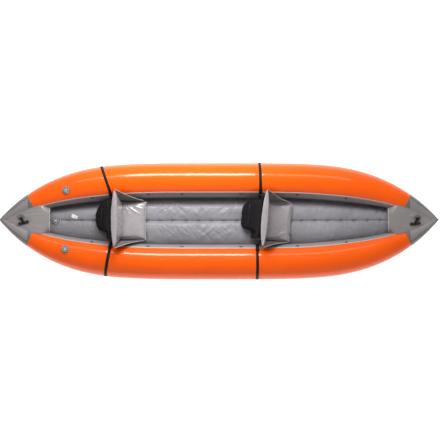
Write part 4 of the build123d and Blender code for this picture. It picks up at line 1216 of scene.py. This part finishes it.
def pouch(seat):
    us = np.concatenate([np.linspace(-0.160, -0.092, 12), np.linspace(-0.086, 0.160, 36)])
    roundness = 2.0 if seat == "rear" else 3.6
    rings = []
    for u in us:
        end = max(0.0, (abs(u) - 0.130) / 0.030)
        bulge = max(0.0, 1 - (abs(u - 0.022) / 0.145) ** roundness) ** 0.5
        depth = 0.095 + 0.098 * bulge * smooth(u, -0.110, -0.078)
        rings.append(round_loop(pouch_section(depth, min(1.0, end)), 2))
    p = np.stack([np.stack([r[:, 0], np.full(len(r), u), r[:, 1]], -1) for r, u in zip(rings, us)])
    centre = p.mean(axis=1, keepdims=True)
    lips = []
    for idx, off in ((0, -0.006), (-1, 0.006)):
        ring = p[idx]
        c = centre[idx]
        rows = [c + (ring - c) * f + np.array([0, off * (1 - f**3), 0]) for f in (0.9, 0.6, 0.25, 0.02)]
        lips.append(rows)
    p = np.concatenate([np.stack(lips[0][::-1]), p, np.stack(lips[1])])
    wr = 0.0032 * fbm(p[..., 1] * 30, (p[..., 0] + p[..., 2]) * 26, 3, 3 if seat == "rear" else 4)
    sag = 0.0035 * np.abs(np.sin(p[..., 1] * 62 + 1.4 * vnoise(p[..., 0] * 20, p[..., 2] * 20, 2)))
    c = p.mean(axis=1, keepdims=True)
    d = p - c
    d = d / np.maximum(np.linalg.norm(d, axis=-1, keepdims=True), 1e-9)
    free = smooth(-p[..., 0], 0.045, 0.09)[..., None]
    p = p - d * (sag[..., None] - 0.001) * free + d * wr[..., None] * free
    faces = tube_faces(*p.shape[:2])
    obj = new_piece(f"{seat}_pouch_bag", seat_world(seat, p).reshape(-1, 3), faces, MATS["black_cloth"])
    soften(obj)
    place(obj, f"{seat}_back", "black_cloth", f"{seat}_gear_pouch")
    # zip across the bag's rear slope, and a bound edge
    us = np.linspace(-0.058, 0.128, 40)
    back = -0.030
    line = np.stack([np.full(40, back - 0.130) + 0.004 * np.sin(us * 30), us, np.full(40, 0.052)], -1)
    line = snap(obj, seat_world(seat, line), 0.0008)
    tape = bead(f"{seat}_pouch_zip", line, 0.0022, MATS["zip_plastic"], 8)
    place(tape, f"{seat}_back", "zip_plastic")
    hem = snap(obj, seat_world(seat, p[BOUND_RING, ::2]), 0.0002)
    edge = bead(f"{seat}_pouch_binding", hem, 0.0022, MATS["black_webbing"], 8, True)
    place(edge, f"{seat}_back", "black_webbing")


def wing_cover(seat, side_name, side, seed):
    """A side wing, from the backrest's edge and the cushion's side out to its free edge."""
    n = 25
    a = np.linspace(0, 1, n)
    v_back = 0.004 + 0.214 * a
    rear_edge = back_local(side * (back_width(v_back) + 0.0035), v_back, 0.0)
    beside, below = np.full(n, side * (HALF + 0.0045)), np.full(n, -DROP - 0.012)
    low = np.stack([0.004 + 0.206 * a, beside, below], -1)
    free = rear_edge[-1] + (low[-1] - rear_edge[-1]) * a[:, None]
    sag = np.sin(math.pi * a)
    free = free + np.stack([0 * a, side * -0.010 * sag, -0.016 * sag], -1)
    rim = np.concatenate([rear_edge[::-1], low[1:]])
    rim_s = np.linspace(0, 1, len(rim))
    free = np.stack([np.interp(rim_s, a, free[:, c]) for c in range(3)], -1)
    q = np.linspace(0, 1, 16)
    cloth = rim[:, None] * (1 - q)[None, :, None] + free[:, None] * q[None, :, None]
    billow = 0.007 * np.sin(math.pi * q)[None] * np.sin(math.pi * rim_s)[:, None]
    ripple = 0.0025 * fbm(cloth[..., 0] * 22, cloth[..., 2] * 22, 3, seed)
    cloth[..., 1] += side * (billow + ripple * np.sin(math.pi * q)[None])
    points = seat_world(seat, cloth)
    normal = np.broadcast_to(seat_frame(seat)[2] * side, points.shape)
    # The wing cloth takes wing_fabric, the darker copy of the seat fabric: painted shade on the wings.
    wing = slab(f"{seat}_{side_name}_wing", points, normal, 0.0016, MATS["wing_fabric"])
    edge = points[1:-1, -1] + UP * 0.0005
    binding = bead(f"{seat}_{side_name}_wing_binding", edge, 0.0024, MATS["light_welt"], 8)
    start = seat_world(seat, np.array([0.16, side * HALF, -DROP]))
    end = seat_world(seat, back_local(side * 0.2, 0.03, 0.0))
    for piece in (wing, binding):
        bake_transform(piece)
    return wing


def seat_cover(seat):
    body = f"{seat}_back"
    # cushion
    v, f, loop = cushion_mesh()
    pan = new_piece(f"{seat}_cushion_pad", seat_world(seat, v), f, MATS["seat_fabric"])
    inflate(pan, 0.006)
    sculpt(pan, seat, PAN_FOLDS[seat], 0.0009, 3 if seat == "rear" else 5)
    soften(pan)
    place(pan, "hull", "seat_fabric", f"{seat}_seat_cushion")
    seam = snap(pan, seat_world(seat, loop[::2]), 0.0012)
    welt = bead(f"{seat}_cushion_welt", seam, 0.0024, MATS["light_welt"], 8, True)
    place(welt, "hull", "light_welt")
    # backrest
    v, f, seams = backrest_mesh()
    rest = new_piece(f"{seat}_backrest_pad", seat_world(seat, v), f, MATS["seat_fabric"])
    inflate(rest, 0.005)
    soften(rest)
    place(rest, body, "seat_fabric", f"{seat}_backrest")
    welts = [bead_mesh(snap(rest, seat_world(seat, line), 0.0012), 0.0023, 8) for line in seams]
    group(f"{seat}_backrest_welts", welts, "light_welt", body=body)
    pouch(seat)
    wings = [wing_cover(seat, name, side, 11 + k) for k, (name, side) in enumerate(SIDES.items())]
    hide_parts(f"{seat}_seat_wings")


for seat in ("front", "rear"):
    seat_cover(seat)

# ---- straps ----------------------------------------------------------------------------------------------

BUCKLE_ANGLE = 44.0
AROUND = 120
WEBBING_HALF = 0.0125


def strap_loop(side, x0, slant):
    """Webbing round a tube, lifted where it crosses the gray strip."""
    W, A = net(np.linspace(-WEBBING_HALF, WEBBING_HALF, 5), np.linspace(-180, 180, AROUND, endpoint=False))
    S = strap_s(x0, slant, A) + W
    over = smooth(A, 44, 49) * (1 - smooth(A, 118, 123))
    lift = -0.0008 + 0.0026 * over + 0.0004 * np.cos(W / WEBBING_HALF * 1.3)
    p = on_tube(S, A, lift, side)
    top = (p + tube_out(S, A, side) * 0.0016).reshape(-1, 3)
    n = len(top)
    faces = quads(5, AROUND, wrap_v=True) + [f[::-1] for f in quads(5, AROUND, wrap_v=True, start=n)]
    for row in (0, 4):
        for k in range(AROUND):
            a, b = row * AROUND + k, row * AROUND + (k + 1) % AROUND
            faces.append([a, b, b + n, a + n])
    return np.concatenate([top, p.reshape(-1, 3)]), faces


def back_strap(seat, side_name, x0, slant):
    """Webbing from a buckle to the back of the seat."""
    side = SIDES[side_name]
    shift = math.sin(math.radians(slant)) * RADIUS * math.sin(math.radians(BUCKLE_ANGLE))
    s0 = x0 + shift
    base = on_tube(s0, BUCKLE_ANGLE, 0.0060, side)
    normal = tube_out(np.array(s0), BUCKLE_ANGLE, side)
    along = along_tube(s0, side)
    upward = np.cross(normal, along) * side
    upward = upward / np.linalg.norm(upward)
    start = base - upward * 0.008 + normal * 0.0018
    knee = base - upward * 0.034 + normal * 0.003
    fix = seat_world(seat, back_local(side * (HALF + 0.026), BACK_TOP * 0.55, -0.024))
    t = np.linspace(0, 1, 34)[:, None]
    mid = (knee + fix) / 2 - UP * 0.018
    path = np.concatenate([start + (knee - start) * np.linspace(0, 1, 7)[:-1, None],
                           (1 - t) ** 2 * knee + 2 * t * (1 - t) * mid + t**2 * fix])
    for _ in range(3):
        path[1:-1] = (path[:-2] + 2 * path[1:-1] + path[2:]) / 4
    turn = np.linspace(0, 1, len(path))[:, None]
    v, f = ribbon_mesh(path, along * (1 - turn) + UP * turn, 0.024, 0.0016)
    obj = new_piece(f"{seat}_{side_name}_back_strap", v, f, MATS["black_webbing"])
    if side_name == "port":
        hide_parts(f"{seat}_back_straps")
    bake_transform(obj)


strap_loops = []
for (seat, side_name), (x0, slant) in STRAPS.items():
    strap_loops.append(strap_loop(SIDES[side_name], x0, slant))
    back_strap(seat, side_name, x0, slant)
group("tube_strap_loops", strap_loops, "black_webbing", "seat_tube_straps")

# ---- toggle handles --------------------------------------------------------------------------------------

GRIP = 0.0125
TOGGLES = {"bow": ((1.712, 0.014), (1.688, -0.034), 7.0), "stern": ((-1.706, 0.018), (-1.681, -0.026), 14.0)}
DECK_TOP = DECK_Z + 0.003
for end, ((ax, ay), (gx, gy), angle) in TOGGLES.items():
    body = f"{end}_toggle"
    along = np.array([math.cos(math.radians(angle)), math.sin(math.radians(angle)), 0])
    side_dir = np.cross(UP, along)
    centre = np.array([gx, gy, DECK_TOP + GRIP + 0.001])
    prof = [(0.0001, -0.046), (0.5 * GRIP, -0.0459), (0.82 * GRIP, -0.0445), (0.98 * GRIP, -0.0415),
            (GRIP, -0.0375)]
    for k in range(5):
        z0 = -0.036 + k * 0.0055
        prof += [(GRIP, z0), (GRIP - 0.0015, z0 + 0.0010), (GRIP - 0.0015, z0 + 0.0022), (GRIP, z0 + 0.0032)]
    prof += [(GRIP - 0.0004, -0.0098), (GRIP - 0.0004, 0.0)]
    prof += [(r, -h) for r, h in prof[-2::-1]]
    bar_mesh = turned_mesh(prof, centre, side_dir, UP, along, 40)
    grip = new_piece(f"{end}_grip_bar", *bar_mesh, MATS["black_rubber"])
    place(grip, body, "black_rubber", f"{end}_toggle_grip")
    j = joints[f"{end}_toggle_swing"]
    bar, bar_axis = np.array(j["pos_m"]), np.array(j["axis"])
    towards = np.array([gx - ax, gy - ay, 0])
    towards /= np.linalg.norm(towards)
    a = np.linspace(math.pi * 0.5, math.pi * 1.5, 14)
    hook = bar + np.cos(a)[:, None] * towards * 0.0026 + np.sin(a)[:, None] * UP * 0.0026
    loop_a = np.linspace(-math.pi * 0.75, math.pi * 0.95, 26)
    ring = centre + (-np.cos(loop_a)[:, None] * towards + np.sin(loop_a)[:, None] * UP) * (GRIP + 0.0007)
    t = np.linspace(0, 1, 12)[1:-1, None]
    top_run = hook[:1] * (1 - t) + ring[-1:] * t
    low_run = hook[-1:] * (1 - t) + ring[:1] * t
    path = np.concatenate([top_run[::-1], hook, low_run, ring])
    path = np.concatenate([path, ring[-1:] * 0.97 + top_run[-1:] * 0.03])
    blend_w = np.clip(((path - bar) @ towards) / 0.05, 0, 1)[:, None]
    across = bar_axis * (1 - blend_w) + along * (1 if along @ bar_axis > 0 else -1) * blend_w
    v, f = ribbon_mesh(path, across, 0.0175, 0.0016)
    webbing = new_piece(f"{end}_grip_webbing", v, f, MATS["black_webbing"])
    place(webbing, body, "black_webbing", f"{end}_toggle_webbing")
    # welded patch under the anchor
    a = np.linspace(0, 2 * np.pi, 48, endpoint=False)
    r = np.linspace(0.0005, 0.030, 9)
    R, A = net(r, a)
    px, py = ax + R * np.cos(A) * 1.15, ay + R * np.sin(A)
    pz = deck_height(np.abs(px), py, end) + 0.0002
    patch = slab(f"{end}_anchor_patch", np.stack([px, py, pz], -1), np.broadcast_to(UP, px.shape + (3,)),
                 0.0010 * (1 - 0.6 * (R / 0.030) ** 6), MATS["gray_pvc"], wrap_v=True)
    place(patch, "hull", "gray_pvc")

# ---- tow loops -------------------------------------------------------------------------------------------

tip = tube_c(np.array(REACH))
parts = []
for way in ENDS.values():
    a = np.linspace(-math.pi / 2, math.pi / 2, 22)
    path = np.stack([tip[0] + 0.0200 + 0.0088 * np.cos(a), 0 * a, tip[2] + 0.0120 * np.sin(a)], -1)
    tail_t = np.linspace(0, 1, 6)[:-1, None]
    head = np.array([tip[0] + 0.010, 0, tip[2] - 0.0215]) * (1 - tail_t) + path[:1] * tail_t
    tail = (np.array([tip[0] + 0.010, 0, tip[2] + 0.0215]) * (1 - tail_t) + path[-1:] * tail_t)[::-1]
    path = np.concatenate([head, path, tail]) * np.array([way, 1, 1])
    parts.append(ribbon_mesh(path, np.array([0, 1.0, 0]), 0.009, 0.0018))
group("tow_loop_webbing", parts, "gray_webbing", "tow_loops")

# ---- zips ------------------------------------------------------------------------------------------------

ZIP_ANGLE = -125.0
ZIP_HALF = 0.222
TOOTH_PITCH = 0.003


def zip_tape(side_name, side):
    s = np.linspace(-ZIP_HALF, ZIP_HALF, 90)
    S, A = net(s, np.linspace(ZIP_ANGLE - 5.2, ZIP_ANGLE + 5.2, 9))
    lift = 0.0004 + 0.0003 * fbm(S * 40, A, 2, 3)
    tape = slab(f"{side_name}_zip_tape", on_tube(S, A, lift, side), tube_out(S, A, side), 0.0008,
                MATS["gray_webbing"])
    place(tape, "hull", "gray_webbing")


def zip_tooth(i, side):
    at = -0.207 + i * TOOTH_PITCH
    p = on_tube(np.array(at), ZIP_ANGLE + (0.42 if i % 2 else -0.42), 0.0022, side)
    n = tube_out(np.array(at), ZIP_ANGLE, side)
    forward = along_tube(at, side)
    return box_mesh(p, forward, np.cross(n, forward), n, 0.0021, 0.0040, 0.0021)


teeth = []
for side_name, side in SIDES.items():
    zip_tape(side_name, side)
    teeth += [zip_tooth(i, side) for i in range(139)]
group("zip_teeth", teeth, "zip_plastic", "zip_chains", shade=False)

# ---- CAD nodes that keep their shape ---------------------------------------------------------------------
slots = {row["node"]: row["material_slot"] for row in frame["record"]["subparts"]}
for name, node in frame["nodes"].items():
    if node.hide_render:
        continue
    mat = MATS[slots[name]]
    for holder in node.material_slots:
        holder.material = mat
    if not node.material_slots:
        node.data.materials.append(mat)
    if name.endswith(("lever", "frames", "anchors", "slider", "pull")):
        mod = node.modifiers.new("Bevel", "BEVEL")
        mod.width, mod.segments, mod.limit_method = 0.0004, 2, "ANGLE"
        mod.angle_limit = math.radians(40)

# ---- stage, light and camera -----------------------------------------------------------------------------


def stage_floor():
    mesh = bpy.data.meshes.new("stage_floor")
    mesh.from_pydata([(-12, -12, 0), (12, -12, 0), (12, 12, 0), (-12, 12, 0)], [], [(0, 1, 2, 3)])
    obj = bpy.data.objects.new("stage_floor", mesh)
    scene.collection.objects.link(obj)
    n = Nodes("stage_paper")
    n.link(n.ramp(n.noise(0.7, 3.0), [(0.3, (0.90, 0.90, 0.90, 1)), (0.7, (0.93, 0.93, 0.93, 1))]),
           n.bsdf.inputs["Base Color"])
    n.set(Roughness=0.95, Specular_IOR_Level=0.1, Emission_Color=(1, 1, 1, 1), Emission_Strength=0.85)
    mesh.materials.append(n.mat)


def area_light(name, where, aim, size, energy):
    light = bpy.data.lights.new(name, "AREA")
    light.shape = "RECTANGLE"
    light.size, light.size_y = size
    light.energy = energy
    obj = bpy.data.objects.new(name, light)
    scene.collection.objects.link(obj)
    obj.location = where
    obj.rotation_euler = (Vector(aim) - Vector(where)).to_track_quat("-Z", "Y").to_euler()
    return obj


stage_floor()
world = scene.world or bpy.data.worlds.new("studio")
scene.world = world
world.use_nodes = True
sky = world.node_tree
back = sky.nodes["Background"]
back.inputs["Color"].default_value = (1, 1, 1, 1)
height = sky.nodes.new("ShaderNodeSeparateXYZ")
sky.links.new(sky.nodes.new("ShaderNodeTexCoord").outputs["Generated"], height.inputs[0])
fade = sky.nodes.new("ShaderNodeMapRange")
for key, value in zip(("From Min", "From Max", "To Min", "To Max"), (0.25, 0.85, 0.70, 0.23)):
    fade.inputs[key].default_value = value
sky.links.new(height.outputs["Z"], fade.inputs["Value"])
sky.links.new(fade.outputs["Result"], back.inputs["Strength"])
sun = bpy.data.lights.new("high_key", "SUN")
sun.energy, sun.angle = 1.08, math.radians(20)
key = bpy.data.objects.new("high_key", sun)
scene.collection.objects.link(key)
key.visible_glossy = False
tilt = math.radians(23)
key.rotation_euler = Vector((0.03, -math.sin(tilt), -math.cos(tilt))).to_track_quat("-Z", "Y").to_euler()
area_light("strip", (-0.28, 1.12, 1.55), (-0.28, 0.2, 0.25), (1.25, 0.34), 32)
area_light("long_strip", (-0.1, 1.12, 1.60), (-0.1, 0.2, 0.25), (3.0, 0.30), 9)

camera = bpy.data.objects.new("camera", bpy.data.cameras.new("camera"))
scene.collection.objects.link(camera)
target = Vector((0.009, 0.001, 0.25))
elevation, distance = math.radians(86.0), 7.0
camera.location = target + Vector((0, -math.cos(elevation), math.sin(elevation))) * distance
camera.rotation_euler = (target - camera.location).to_track_quat("-Z", "Y").to_euler()
camera.data.lens = 36.0 * distance / 3.825
camera.data.clip_end = 60
scene.camera = camera
scene.view_settings.view_transform = "Standard"
